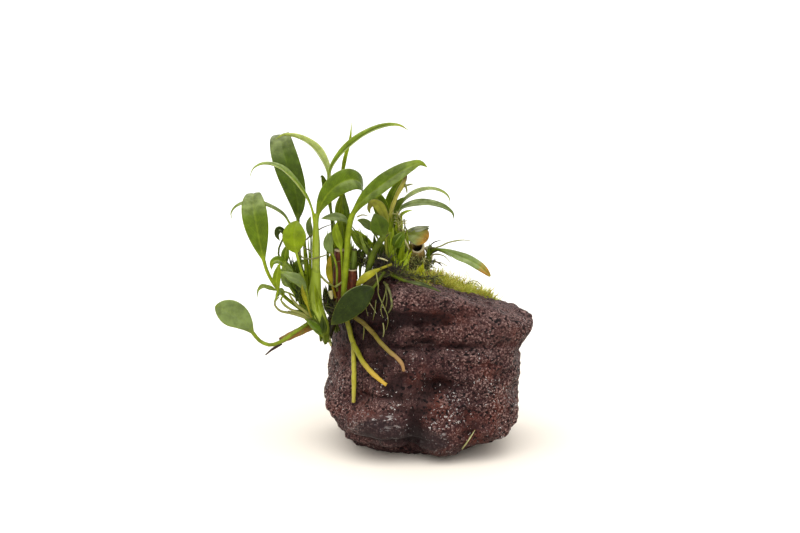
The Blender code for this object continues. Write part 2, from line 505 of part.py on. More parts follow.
def smooth_route(points):
    """A Hermite curve through the points: dense places, the run to each, and the run to each point."""
    steps = np.maximum(np.linalg.norm(np.diff(points, axis=0), axis=1), 1e-9)[:, None]
    slopes = np.diff(points, axis=0) / steps
    tangents = np.empty_like(points)
    tangents[1:-1] = (slopes[:-1] * steps[1:] + slopes[1:] * steps[:-1]) / (steps[1:] + steps[:-1])
    tangents[0] = 1.5 * slopes[0] - 0.5 * tangents[1]
    tangents[-1] = 1.5 * slopes[-1] - 0.5 * tangents[-2]
    pieces = 32
    u = np.linspace(0.0, 1.0, pieces + 1)[None, :, None]
    start, end, step = points[:-1, None], points[1:, None], steps[:, None]
    dense = start * (2 * u**3 - 3 * u**2 + 1) + end * (3 * u**2 - 2 * u**3)
    dense += step * tangents[:-1, None] * (u**3 - 2 * u**2 + u)
    dense += step * tangents[1:, None] * (u**3 - u**2)
    dense = np.concatenate([dense[:, :-1].reshape(-1, 3), points[-1:]])
    run = np.concatenate([[0.0], np.cumsum(np.linalg.norm(np.diff(dense, axis=0), axis=1))])
    return dense, run, run[np.arange(len(points)) * pieces]


def places_along(dense, run, stations):
    return np.stack([np.interp(stations, run, dense[:, axis]) for axis in range(3)], axis=1)


def carried_frame(places, facing, middle):
    """Tangents, sides and normals along the places; the normal looks `facing` at `middle`."""
    tangents = unit(np.gradient(places, axis=0))
    normals = np.empty_like(tangents)
    normals[middle] = unit(facing - (facing @ tangents[middle]) * tangents[middle])
    for order in (range(middle + 1, len(places)), range(middle - 1, -1, -1)):
        previous = middle
        for station in order:
            carried = normals[previous] - (normals[previous] @ tangents[station]) * tangents[station]
            normals[station] = unit(carried)
            previous = station
    return tangents, np.cross(tangents, normals), normals


def leaf_rings(leaf, stalk_stations, blade_stations):
    """Rings of a leaf: an ellipse that is round on the stalk and flat, folded and wide on the blade."""
    points = seen_points(leaf.stalk + leaf.blade)
    dense, run, knots = smooth_route(points)
    opening = knots[len(leaf.stalk) - 1]
    eased = 0.5 - 0.5 * np.cos(np.linspace(0.0, math.pi, blade_stations + 1)[:-1] * 0.97)
    stations = np.concatenate([
        np.linspace(0.0, opening, stalk_stations, endpoint=False),
        opening + (run[-1] - opening) * eased,
    ])
    places = places_along(dense, run, stations)
    along = np.clip((stations - opening) / (run[-1] - opening), 0.0, 1.0)
    middle = int(np.argmin(abs(along - 0.45)))

    tangent = unit(np.gradient(places, axis=0)[middle])
    to_viewer = unit(-SIGHT + (SIGHT @ tangent) * tangent)
    roll = math.radians(leaf.roll)
    facing = math.cos(roll) * to_viewer + math.sin(roll) * np.cross(tangent, to_viewer)
    _, sides, normals = carried_frame(places, facing, middle)
    turn = np.radians(leaf.twist) * (along - along[middle])[:, None]
    sides, normals = (np.cos(turn) * sides + np.sin(turn) * normals,
                      np.cos(turn) * normals - np.sin(turn) * sides)

    skew = math.log(0.5) / math.log(leaf.widest)
    width = leaf.half_width * np.sin(math.pi * along ** skew) ** leaf.fullness
    stalk = leaf.stalk_radius * (1 - 0.35 * np.clip(along / 0.12, 0, 1)) * (1 - 0.75 * along)
    flat = np.clip(width / (3 * leaf.stalk_radius), 0.0, 1.0)
    half = np.sqrt(width ** 2 + stalk ** 2)
    thick = stalk * (1 - flat) + 0.5 * LEAF_THICKNESS * flat
    angles = np.linspace(0.0, 2 * math.pi, LEAF_SIDES, endpoint=False)
    x = half[:, None] * np.cos(angles)
    z = thick[:, None] * np.sin(angles) + leaf.fold * flat[:, None] * abs(x)
    rings = places[:, None] + x[..., None] * sides[:, None] + z[..., None] * normals[:, None]
    return rings, places[0], points[-1]


def finish_material(name, finish):
    colour, roughness = FINISHES[finish]
    material = bpy.data.materials.new(name + "_finish")
    material.use_nodes = True
    shader = material.node_tree.nodes["Principled BSDF"]
    shader.inputs["Base Color"].default_value = (*colour, 1.0)
    shader.inputs["Roughness"].default_value = roughness
    shader.inputs["Metallic"].default_value = 0.0
    return material


def add_mesh_object(name, mesh, finish, collection):
    for polygon in mesh.polygons:
        polygon.use_smooth = True
    mesh.materials.append(finish_material(name, finish))
    placed = bpy.data.objects.new(name, mesh)
    collection.objects.link(placed)
    return placed


def loft(name, rings, start, end, finish, collection):
    """A closed skin over the rings, drawn in to one point at each end."""
    count, around = rings.shape[:2]
    vertices = np.concatenate([[start], rings.reshape(-1, 3), [end]]) * MM
    here = np.arange(around)
    beside = np.roll(here, -1)
    faces = [(0, 1 + int(b), 1 + int(a)) for a, b in zip(here, beside)]
    for ring in range(count - 1):
        low, high = 1 + ring * around, 1 + (ring + 1) * around
        faces += [(low + int(a), low + int(b), high + int(b), high + int(a))
                  for a, b in zip(here, beside)]
    last, tip = 1 + (count - 1) * around, 1 + count * around
    faces += [(last + int(a), last + int(b), tip) for a, b in zip(here, beside)]
    mesh = bpy.data.meshes.new(name)
    mesh.from_pydata(vertices.tolist(), [], faces)
    work = bmesh.new()
    work.from_mesh(mesh)
    bmesh.ops.recalc_face_normals(work, faces=work.faces[:])
    work.to_mesh(mesh)
    work.free()
    return add_mesh_object(name, mesh, finish, collection)


def build_stone(collection):
    """A cube cut into a grid, blown out to the stone's reach and cut flat at the foot."""
    work = bmesh.new()
    bmesh.ops.create_cube(work, size=2.0)
    bmesh.ops.subdivide_edges(work, edges=work.edges[:], cuts=STONE_CUTS, use_grid_fill=True)
    corners = np.array([vertex.co for vertex in work.verts])
    directions = unit(np.tan(corners * math.pi / 4))
    places = STONE_HEART + directions * stone_reach(directions)[:, None]
    places[:, 2] = np.maximum(places[:, 2], 0.0)
    for vertex, place in zip(work.verts, places):
        vertex.co = place * MM
    mesh = bpy.data.meshes.new("stone")
    work.to_mesh(mesh)
    work.free()
    return add_mesh_object("stone", mesh, "stone", collection)


def build_moss(collection):
    """A flattened, lumpy roll laid along MOSS_LINE on the stone."""
    line = seen_points(MOSS_LINE)
    dense, run, _ = smooth_route(line)
    share = np.linspace(0.03, 0.97, MOSS_RINGS)
    middles = places_along(dense, run, share * run[-1])
    swell = np.sqrt(np.sin(math.pi * share)) * (1 + 0.2 * np.sin(17 * share + 1))
    angles = np.linspace(0.0, 2 * math.pi, MOSS_SIDES, endpoint=False)
    aside = np.cos(angles) * (MOSS_HALF_WIDTH * swell)[:, None]
    towards = middles[:, None] + aside[..., None] * np.array([0.1, 1.0, 0.0]) - STONE_HEART
    lift = TOUCH + 0.5 * (1 + np.sin(angles)) * (MOSS_HEIGHT * swell)[:, None]
    rings = STONE_HEART + unit(towards) * (stone_reach(towards) + lift)[..., None]
    start, end = (rings[index].mean(axis=0) for index in (0, -1))
    return loft("moss_pad", rings, start, end, "moss", collection)


def ring_count(route, step, limits):
    run = np.linalg.norm(np.diff(seen_points(route), axis=0), axis=1).sum()
    return int(np.clip(round(run / step) + 2, *limits))


def build_leaf(leaf, collection):
    stalk_stations = ring_count(leaf.stalk, STALK_STEP, STALK_RINGS)
    blade_stations = ring_count(leaf.blade, BLADE_STEP, BLADE_RINGS)
    rings, start, end = leaf_rings(leaf, stalk_stations, blade_stations)
    return loft(leaf.name, rings, start, end, leaf.finish, collection)


def build_stem(stem, collection):
    """A round piece as a bevelled curve with filled caps, kept clear of the stone if it lies on it."""
    radius_steps = np.linspace(0.0, 1.0, len(stem.radii))
    points = seen_points(stem.route)
    if stem.on_stone:
        rooms = np.interp(np.linspace(0.0, 1.0, len(stem.route)), radius_steps, stem.radii) + TOUCH
        points = np.array([clear_of_stone(*point, room) for point, room in zip(stem.route, rooms)])
    dense, run, _ = smooth_route(points)
    shares = np.linspace(0.0, 1.0, max(STEM_STATIONS, len(stem.route)))
    places = places_along(dense, run, shares * run[-1]) * MM
    radii = np.interp(shares, radius_steps, stem.radii)
    curve = bpy.data.curves.new(stem.name, "CURVE")
    curve.dimensions = "3D"
    curve.bevel_depth = MM
    curve.bevel_resolution = STEM_SIDES_SETTING
    curve.use_fill_caps = True
    spline = curve.splines.new("POLY")
    spline.points.add(len(places) - 1)
    for point, place, radius in zip(spline.points, places, radii):
        point.co = (*place, 1.0)
        point.radius = radius
    spline.use_smooth = True
    curve.materials.append(finish_material(stem.name, stem.finish))
    placed = bpy.data.objects.new(stem.name, curve)
    collection.objects.link(placed)
    return placed


def clear_scene():
    for old in list(bpy.data.objects):
        bpy.data.objects.remove(old, do_unlink=True)


def main():
    clear_scene()
    collection = bpy.data.collections.new(OBJECT_NAME)
    bpy.context.scene.collection.children.link(collection)
    build_stone(collection)
    build_moss(collection)
    for leaf in LEAVES:
        build_leaf(leaf, collection)
    for stem in STEMS:
        build_stem(stem, collection)


main()
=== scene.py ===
"""Anubias on stone: the looks of a small creeping water plant grown fast to a block of dark, wet lava.

The file is laid out as a Blender add-on and run as a script. Each operator makes one group of like pieces,
the panel lists them, and main() calls them in order.

Routes are in millimetres as the front view shows them: (across, up, back). `back` is the depth; `across`
and `up` are measured on the plane through the origin that faces the viewer. Shapes are worked out in
millimetres and put into their meshes in metres.
"""

import json
import math
from dataclasses import dataclass

import bpy
import numpy as np
from bpy.props import FloatProperty, FloatVectorProperty, IntProperty, PointerProperty
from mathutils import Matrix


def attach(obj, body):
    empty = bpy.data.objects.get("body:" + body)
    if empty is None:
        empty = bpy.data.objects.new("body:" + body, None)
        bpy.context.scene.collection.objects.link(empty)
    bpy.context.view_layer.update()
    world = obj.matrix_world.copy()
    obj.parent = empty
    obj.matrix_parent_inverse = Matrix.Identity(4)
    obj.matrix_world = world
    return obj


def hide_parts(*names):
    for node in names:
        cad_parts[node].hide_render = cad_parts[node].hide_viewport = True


bl_info = {
    "name": "Anubias on Stone",
    "version": (1, 0, 0),
    "blender": (4, 5, 0),
    "location": "3D View > Sidebar > Anubias",
    "description": "Builds the leaves, stem, roots, moss and pitted stone of a small water plant",
    "category": "Add Mesh",
}

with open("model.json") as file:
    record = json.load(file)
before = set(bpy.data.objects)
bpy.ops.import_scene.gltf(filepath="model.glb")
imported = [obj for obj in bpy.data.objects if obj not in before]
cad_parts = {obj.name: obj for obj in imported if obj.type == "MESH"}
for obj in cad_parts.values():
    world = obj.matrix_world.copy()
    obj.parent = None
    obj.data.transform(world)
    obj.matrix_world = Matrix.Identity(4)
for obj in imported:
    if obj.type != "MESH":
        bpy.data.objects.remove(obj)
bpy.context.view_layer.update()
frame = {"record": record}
# The record's material slot of each CAD node.
CAD_SLOTS = {part["node"]: part["material_slot"] for part in frame["record"]["subparts"]}
BODY = "root"
MM = 0.001
FULL_TURN = 2 * math.pi

# The front view that the routes are written in.
VIEW_TILT = math.radians(12.0)
VIEW_DISTANCE = 900.0
VIEW_AIM = (-10.0, 71.8)
VIEW_WIDTH = 320.0        # mm of the view's plane from one side of the picture to the other
ACROSS = np.array([1.0, 0.0, 0.0])
UP = np.array([0.0, math.sin(VIEW_TILT), math.cos(VIEW_TILT)])
SIGHT = np.array([0.0, math.cos(VIEW_TILT), -math.sin(VIEW_TILT)])
EYE = VIEW_AIM[0] * ACROSS + VIEW_AIM[1] * UP - VIEW_DISTANCE * SIGHT

# The lamps are set so bright that the floor turns white; every colour is darkened by as much.
LAMP_SURPLUS = 1.25


def paint(red, green, blue):
    """A linear colour from the 0-255 values of a colour chart, for the bright lamps."""
    chart = np.array([red, green, blue]) / 255.0
    low = chart / 12.92
    high = ((chart + 0.055) / 1.055) ** 2.4
    return tuple(float(v) for v in np.where(chart <= 0.04045, low, high) / LAMP_SURPLUS)


# --- Settings --------------------------------------------------------------------------------------------

def a_count(name, description, default, low, high):
    return IntProperty(name=name, description=description, default=default, min=low, max=high)


def a_number(name, description, default, low, high, **kind):
    return FloatProperty(name=name, description=description, default=default, min=low, max=high, **kind)


def a_length(name, description, default, low, high):
    return a_number(name, description, default, low, high, unit="LENGTH", precision=5)


def a_share(name, description, default, low=0.0, high=1.0):
    return a_number(name, description, default, low, high, subtype="FACTOR")


def a_colour(name, description, default):
    return FloatVectorProperty(name=name, description=description, default=default, subtype="COLOR", size=3,
                               min=0.0, max=1.0)


class LeafSettings(bpy.types.PropertyGroup):
    """Sizes and gloss that all the leaves share."""
    thickness: a_length("Thickness", "Thickness of a blade beside its middle line", 0.0005, 0.0001, 0.002)
    roughness: a_share("Roughness", "Roughness of the blades under their film of water", 0.34)
    wetness: a_share("Wetness", "Weight of the clear film of water on the leaves", 0.05)
    # A painted sheen: this pale colour is laid over the places of the blades that face the sky.
    sheen: a_colour("Sheen", "Pale bloom of the places that face the sky", paint(176, 186, 132))
    glow: a_share("Glow", "How much light passes into the leaf and out again", 0.15)
    blade_rings: a_count("Blade rings", "Sections along a blade", 46, 8, 120)
    stalk_rings: a_count("Stalk rings", "Sections along a stalk", 14, 3, 60)
    leaf_sides: a_count("Leaf sides", "Points round a section of a leaf", 22, 8, 48)


class StemSettings(bpy.types.PropertyGroup):
    """Sizes of the creeping stem, stumps, roots and threads."""
    stem_sides: a_count("Stem sides", "Points round a section of a stem", 24, 6, 64)
    stem_rings: a_count("Stem rings", "Sections along a stem", 60, 8, 200)
    unevenness: a_share("Unevenness", "Share of a stem's radius that its lumps take", 0.10, 0.0, 0.5)
    hollow_depth: a_share("Hollow depth", "Share of the straw-coloured stump's length that is hollow", 0.7, 0.1, 0.9)
    thread_sides: a_count("Thread sides", "Points round a section of a thread", 6, 3, 16)


class StoneSettings(bpy.types.PropertyGroup):
    """Pits and colours of the stone."""
    grid_cells: a_count("Grid cells", "Cells along one side of the grid that the stone is blown out from",
                        126, 16, 128)
    pit_spacing: a_number("Pit spacing", "Distance between the larger pits, in millimetres", 3.0, 1.0, 10.0)
    pit_depth: a_number("Pit depth", "Depth of the larger pits, in millimetres", 0.8, 0.0, 2.0)
    dark: a_colour("Dark lava", "Ground colour of the wet lava", paint(72, 40, 42))
    red: a_colour("Red lava", "Colour of the redder patches", paint(114, 56, 44))
    grey: a_colour("Grey lava", "Colour of the greyer patches", paint(98, 64, 62))
    # A painted sheen: the reflection of the bright room, laid on the places that face the sky.
    sky: a_colour("Sky sheen", "Colour of the wet places that face the sky", paint(192, 156, 148))
    # Pale grains, partly the lava's own and partly a painted reflection of its wet facets.
    grain_and_sheen: a_colour("Dust", "Colour of the pale grains on the high places", paint(206, 168, 160))
    # Dark in the pores, and also the painted shade on what lies low or faces down.
    pore_and_shade: a_colour("Pore", "Colour inside the pores", paint(22, 9, 12))
    # Painted highlights: the glints of the tiny drops.
    glint: a_colour("Glint", "Colour of the tiny drops that catch the light", paint(232, 226, 224))
    worn: a_colour("Worn lava", "Colour of the smooth, worn parts", paint(40, 24, 27))
    glint_level: a_share("Glint level", "Level of the grain above which a drop shows; higher is fewer",
                         0.65, 0.5, 0.9)
    glint_height: a_length("Glint height", "Height above the foot where most of the drops hang", 0.021, 0.0, 0.1)
    grain_scale: a_number("Grain scale", "Grains and pores to the metre", 1150.0, 100.0, 3000.0)
    wetness: a_share("Wetness", "Weight of the film of water on the smooth parts of the stone", 0.08)


class MossSettings(bpy.types.PropertyGroup):
    """Strands and colours of the moss."""
    strands: a_count("Strands", "Number of strands in the patch", 2600, 100, 6000)
    length: a_length("Strand length", "Usual length of a strand", 0.0026, 0.0005, 0.01)
    width: a_length("Strand width", "Width of a strand at its foot", 0.00034, 0.0001, 0.001)
    old: a_colour("Old growth", "Colour low in the moss", paint(92, 96, 30))
    grown: a_colour("Growth", "Colour of most strands", paint(176, 180, 44))
    young: a_colour("Young tips", "Colour of the lightest strands", paint(228, 228, 96))
    seed: a_count("Seed", "Number that the scatter starts from", 5, 0, 9999)


class StageSettings(bpy.types.PropertyGroup):
    """Floor, lamps and the light of the room."""
    floor: a_colour("Floor", "Colour of the floor near the piece", (0.97, 0.895, 0.79))
    floor_size: a_length("Floor size", "Length of the floor's sides", 6.0, 0.5, 20.0)
    white_from: a_length("White from", "Distance behind the piece where the floor begins to whiten", 0.05, 0.0, 5.0)
    white_to: a_length("White to", "Distance behind the piece where the floor is white", 0.40, 0.0, 5.0)
    wall_light: a_number("Wall light", "Strength of the room's light from the level of the floor", 0.70, 0.0, 5.0)
    ceiling_light: a_number("Ceiling light", "Strength of the room's light from overhead", 1.22, 0.0, 5.0)
    top_strength: a_number("Top lamp", "Strength of the wide lamp overhead", 1.1, 0.0, 20.0)
    front_strength: a_number("Front lamp", "Strength of the wide lamp low at the front", 0.6, 0.0, 20.0)
    lamp_spread: a_number("Lamp spread", "Angle that each wide lamp fills", math.radians(70.0), 0.0, math.pi,
                          subtype="ANGLE")

# --- Stone -----------------------------------------------------------------------------------------------

# Stone: a block with blunt edges, about a heart that every flank is measured from.
STONE_HEART = np.array([0.0, 6.0, 33.0])
STONE_EDGE_SHARPNESS = 15.0
# Each flank: the way it faces, and its distance from the heart.
STONE_FLANKS = [
    ((0.04, -1.0, 0.06), 32.0),   # front
    ((0.0, 1.0, 0.12), 31.0),   # back
    ((-1.0, -0.1, -0.04), 37.3),   # left
    ((1.0, 0.0, -0.02), 37.5),   # right
    ((0.32, 0.06, 0.945), 32.1),   # top, sloping down to the right
    ((-0.78, 0.05, 0.62), 38.6),   # upper left, under the plant
    ((-0.80, -0.16, -0.57), 42.5),
    ((0.72, 0.05, -0.70), 41.3),
    ((0.26, -0.25, -1.0), 36.0),   # underside, rising to the right
    ((-0.16, -0.48, -0.88), 36.4),   # underside of the lobe at the left
    ((0.0, 0.0, -1.0), 39.0),   # under the foot, which is cut flat above it
    ((-0.70, -0.71, 0.05), 36.5),
    ((0.66, -0.75, -0.1), 41.0),
    ((0.55, 0.83, 0.1), 39.5),
    ((-0.6, 0.8, 0.1), 39.0),
    ((0.05, -0.70, 0.71), 44.5),
    ((-0.05, 0.7, -0.7), 43.0),
]
# Each swelling or hollow: its middle, its spread along x, y and z, and its height.
STONE_SWELLINGS = [
    ((41, -4, 51), (7, 12, 4.6), 6.0),   # corner block, upper right
    ((38, 0, 41), (6, 14, 4), -3.8),
    ((37, 0, 33), (5, 12, 3.5), 2.2),
    ((36, -4, 26), (6, 12, 5), -3.9),
    ((36, -4, 15), (7, 10, 4), 1.5),
    ((5.5, -20, 7), (6, 8, 7), 4.2),   # knob at the foot
    ((-5, -22, 9), (3, 8, 7), -1.6),
    ((7, -24, 29), (7, 6, 4), -3.0),   # hollow above the knob
    ((-20, -18, 14), (12, 8, 6), 3.4),   # smooth lobe, lower left
    ((-22, -16, 5.0), (14, 8, 1.8), -2.6),   # undercut below the lobe
    ((-16, -14, 1.6), (12, 8, 1.8), 1.6),   # band at the foot
    ((-27, -20, 24), (6, 6, 3), -2.5),
    ((-39, -4, 22), (6, 12, 5.5), 4.2),
    ((-37, -4, 39), (5, 12, 6), -2.0),
    ((-31, -14, 47), (7, 9, 5), -3.5),
    ((-24, -20, 57), (6.5, 10, 8), -5.0),   # shaded flank left of the brow
    ((2, -24, 64.5), (14, 8, 3.4), 2.8),   # brow
    ((0, -26, 57.6), (11, 8, 2.3), -3.6),   # recess under the brow
    ((24, -24, 55), (10, 8, 5), 1.5),
    ((1, -27, 47.5), (6, 6, 1.6), -2.5),   # two level cracks
    ((15, -27, 46), (9, 6, 1.6), -2.8),
    ((8, -27, 41), (14, 7, 4), 1.5),
    ((24, -24, 33), (7, 8, 8), 1.0),
    ((-14, -26, 36), (8, 7, 6), -1.5),
    ((20, 32, 45), (10, 9, 8), -4.0),   # the back
    ((-14, 36, 30), (11, 8, 9), 3.5),
    ((8, 36, 14), (9, 9, 6), -3.0),
    ((26, 28, 22), (9, 9, 8), 3.0),
    ((-28, 26, 52), (9, 9, 7), -3.0),
    ((-6, 30, 60), (10, 8, 6), 2.5),
    ((20, 12, 60), (8, 9, 5), -2.0),
    ((-3, -26, 58), (7.5, 7, 2.2), -2.4),   # the recess runs in deeper at its middle
    ((-17.5, -24, 61), (3.5, 8, 8), -3.4),   # step down from the brow to the shaded flank
    ((-10, -26, 63), (4, 8, 5), 1.6),
    ((-25, -20, 59), (6, 10, 6), -2.4),
    ((5, -27, 31), (4.5, 6, 2.8), -2.4),
    ((10, -26, 25.5), (4.5, 6, 3), 1.8),
    ((-18, -24, 17), (9, 8, 5.5), 1.6),
    ((-3.5, -27, 13), (3, 8, 6), -2.4),   # valley between lobe and knob
    ((18.5, -27, 19), (3.2, 8, 7), -1.8),
    ((26, -24, 13), (4.5, 8, 4.5), 1.5),
    ((-33, -14, 34), (4, 8, 5), -1.4),
    ((-4, -27, 53), (13, 6, 2.4), 1.1),   # ledge above the cracks
]
STONE_RIPPLE = 0.55
STONE_FINE_RIPPLE = 0.40
# Cracks, ledges and lobes too fine for the plain block.
STONE_RELIEF = [
    ((-0.8, -27, 49.5), (3.8, 6, 0.8), -3.0),   # two level cracks
    ((13.7, -27, 47.3), (5.5, 6, 0.8), -3.2),
    ((-8.5, -27, 46.6), (4.0, 6, 0.5), -1.4),
    ((-2, -26, 59.0), (9, 7, 0.9), -1.8),   # sharp edge under the brow
    ((0, -26, 61.6), (11, 7, 0.9), 1.0),
    ((14, -27, 55), (2.0, 6, 4), -1.2),
    ((5, -27, 32.0), (3.4, 6, 1.3), -1.4),   # dark hollow in the middle
    ((-19, -26, 26.2), (10, 8, 1.3), -1.8),
    ((-20, -22, 9.4), (13, 9, 0.8), -2.6),   # undercut line and foot band
    ((-16, -20, 7.4), (12, 9, 1.2), 1.2),
    ((27, -24, 25), (3.5, 8, 2.0), -1.4),
    ((21, -25, 29), (1.6, 6, 3.4), -1.3),
    ((30, -22, 36), (4.5, 8, 1.1), -1.3),
    ((-9, -27, 21.5), (5.5, 6, 1.4), -1.1),
    ((15, -26, 12), (3.2, 6, 1.4), -1.2),
    ((31, -20, 47), (5.0, 8, 1.2), -1.4),
    ((18, -26, 60), (6.0, 6, 1.2), -1.2),
    ((24, -27, 40.0), (8.0, 6, 1.0), -1.4),
    ((-14, -27, 41), (9.0, 6, 1.2), -1.0),
]
# Where the stone is worn smooth: as above, with a strength in place of the height.
STONE_SMOOTH = [
    ((-18, -24, 14), (10, 12, 5.5), 1.0),
    ((3, -24, 10), (7, 12, 4), 0.9),
    ((-2, -27, 40), (8, 8, 5), 0.45),
]
# Painted shade (below 0) and painted light, where it is darker or paler than its height makes it, in the same form.
STONE_SHADE = [
    ((-3, -22, 57), (9, 8, 3.5), -4.0),   # recess under the brow
    ((-20, -16, 60), (6, 12, 8), -4.0),   # flank beside the brow
    ((-30, -14, 62), (9, 14, 8), -4.0),
    ((-18, -24, 14), (12, 12, 6), -2.6),   # lobe at the lower left
    ((4, -24, 6), (8, 10, 4), -2.5),
    ((4, -22, 31), (5, 8, 3), -1.6),
    ((-17, -22, 22), (12, 8, 6), -1.5),
    ((26, -20, 54), (11, 12, 6), 3.2),   # painted light, with grey grains, on the upper right block
    ((30, -20, 36), (7, 12, 10), 2.8),
    ((29, -18, 20), (7, 12, 8), 5.6),
    ((-33, -8, 28), (6, 14, 10), 2.8),   # lit left flank
    ((-4, -26, 44), (10, 8, 3), -1.6),   # dark patches on the front
    ((-12, -26, 33), (6, 8, 4), -1.8),
    ((14, -26, 35), (5, 8, 3), 1.6),
    ((9.5, -26, 27), (3.2, 6, 2.0), 5.5),   # painted highlight on the wet shoulder above the knob
    ((-4, -26, 16), (2.6, 8, 7), -3.0),   # valley between lobe and knob
    ((5, -26, 20.5), (4, 8, 2.6), -2.6),
    ((-18, -26, 24.5), (9, 8, 1.6), 2.4),   # painted sheen on the upper edge of the lobe
    ((18, -27, 15), (3, 8, 7), -2.4),
]
STONE_LUMP_SPACING = 5.0
STONE_LUMP_HEIGHT = 0.80
STONE_LUMP_SEED = 11
STONE_FINE_LUMPS = ((2.6, 0.60), (1.35, 0.42))   # spacing and height
# Each size of pit: its share of the pits' spacing and depth, the share of places that have one, and its seed.
STONE_PITS = ((1.0, 0.55, 21), (0.5, 0.7, 31))
SMALLEST_PIT, LARGEST_PIT = 0.28, 0.58   # radius, as a share of the spacing
WORN_AWAY = 0.75                         # of the lumps and pits, where the stone is smoothest
# How much each form counts for the height mark; the wide one holds the painted shade and light of STONE_SHADE.
HEIGHT_MARK = {"wide": 0.45, "relief": 0.8, "lumps": 0.9, "pits": 1.2}


def unit(vectors):
    return vectors / np.linalg.norm(vectors, axis=-1, keepdims=True)


def add_swellings(places, swellings):
    """Sum of bell-shaped heights: height * exp(-(offset / spread) ** 2 / 2) about each middle."""
    total = np.zeros(places.shape[:-1])
    for middle, spread, height in swellings:
        offset = (places - np.array(middle)) / np.array(spread)
        total += height * np.exp(-0.5 * (offset ** 2).sum(axis=-1))
    return total


def scatter(cells, seed):
    """A fixed random value from 0 to 1 for each whole-number cell. The large odd numbers mix its bits."""
    cells = cells.astype(np.int64).astype(np.uint32)
    mixed = cells[..., 0] * np.uint32(73856093) ^ cells[..., 1] * np.uint32(19349663)
    mixed ^= cells[..., 2] * np.uint32(83492791) ^ np.uint32(seed * 40503 + 977)
    mixed ^= mixed >> np.uint32(13)
    mixed *= np.uint32(1274126177)
    mixed ^= mixed >> np.uint32(16)
    return mixed / float(2 ** 32 - 1)


def lattice_noise(places, seed):
    """Smooth noise from -1 to 1: values at lattice corners, blended with 3t^2 - 2t^3 weights."""
    cell = np.floor(places)
    inside = places - cell
    weight = inside * inside * (3.0 - 2.0 * inside)
    total = np.zeros(places.shape[:-1])
    for corner in np.ndindex(2, 2, 2):
        corner = np.array(corner)
        part = np.where(corner == 1, weight, 1.0 - weight).prod(axis=-1)
        total += part * scatter(cell + corner, seed)
    return 2.0 * total - 1.0


def stone_lumps(places):
    return STONE_LUMP_HEIGHT * lattice_noise(places / STONE_LUMP_SPACING, STONE_LUMP_SEED)


def stone_reach(directions):
    """Distance from the stone's heart to its plain face in each direction.

    The flanks blend as (sum of (n.d / c) ** k) ** (-1 / k); bell-shaped swellings, two crossed
    ripples and lumps of smooth noise are added to that.
    """
    directions = unit(directions)
    total = np.zeros(directions.shape[:-1])
    for facing, distance in STONE_FLANKS:
        nearness = directions @ unit(np.array(facing)) / distance
        total += np.maximum(0.0, nearness) ** STONE_EDGE_SHARPNESS
    plain = total ** (-1.0 / STONE_EDGE_SHARPNESS)
    places = STONE_HEART + directions * plain[..., None]
    x, y, z = np.moveaxis(places / 10.0, -1, 0)
    coarse = np.sin(2.1 * x + 1.3 * z + 0.7) * np.sin(1.7 * y - 2.3 * z)
    fine = np.sin(3.9 * x - 2.9 * y) * np.sin(4.3 * z + 2.2 * x + 1.0)
    ripples = STONE_RIPPLE * coarse + STONE_FINE_RIPPLE * fine
    return plain + add_swellings(places, STONE_SWELLINGS) + ripples + stone_lumps(places)


def pits(places, spacing, fill, seed):
    """Round bowls, one at most in each cell of `spacing`: depth (1 - (d / r)^2)^2, 0 outside."""
    scaled = places / spacing
    cell = np.floor(scaled)
    deepest = np.zeros(places.shape[:-1])
    for offset in np.ndindex(3, 3, 3):
        near = cell + np.array(offset) - 1
        middle = near + np.stack([scatter(near, seed + k) for k in range(3)], axis=-1)
        radius = SMALLEST_PIT + (LARGEST_PIT - SMALLEST_PIT) * scatter(near, seed + 3)
        kept = scatter(near, seed + 4) < fill
        outside = ((scaled - middle) ** 2).sum(axis=-1) / radius ** 2
        bowl = np.clip(1.0 - outside, 0.0, 1.0) ** 2 * kept * radius / LARGEST_PIT
        deepest = np.maximum(deepest, bowl)
    return deepest


def blown_grid(cells):
    """Directions and squares of a cube's grid with its doubles merged, evened out by tan(pi / 4 * place)."""
    line = np.linspace(-1.0, 1.0, cells + 1)
    a, b = np.meshgrid(line, line, indexing="ij")
    one = np.ones_like(a)
    sides = [(one, a, b), (-one, b, a), (b, one, a), (a, -one, b), (a, b, one), (b, a, -one)]
    corners = np.concatenate([np.stack(side, axis=-1).reshape(-1, 3) for side in sides])
    row = np.arange(cells)
    first = (row[:, None] * (cells + 1) + row[None]).reshape(-1)
    square = np.stack([first, first + cells + 1, first + cells + 2, first + 1], axis=-1)
    faces = np.concatenate([square + side * (cells + 1) ** 2 for side in range(len(sides))])
    keys = np.round(corners * cells).astype(np.int64) @ np.array([1, 10_000, 100_000_000])
    _, kept, renumbered = np.unique(keys, return_index=True, return_inverse=True)
    return unit(np.tan(corners[kept] * math.pi / 4)), renumbered.reshape(-1)[faces]


def skyward(places, faces, outward):
    """How far each vertex faces up: z of the mean of its squares' normals, from -1 to 1."""
    square = places[faces]
    facing = np.cross(square[:, 2] - square[:, 0], square[:, 3] - square[:, 1])
    total = np.zeros_like(places)
    for corner in range(4):
        np.add.at(total, faces[:, corner], facing)
    total = unit(total)
    return total[:, 2] * np.sign((total * outward).sum(axis=1))


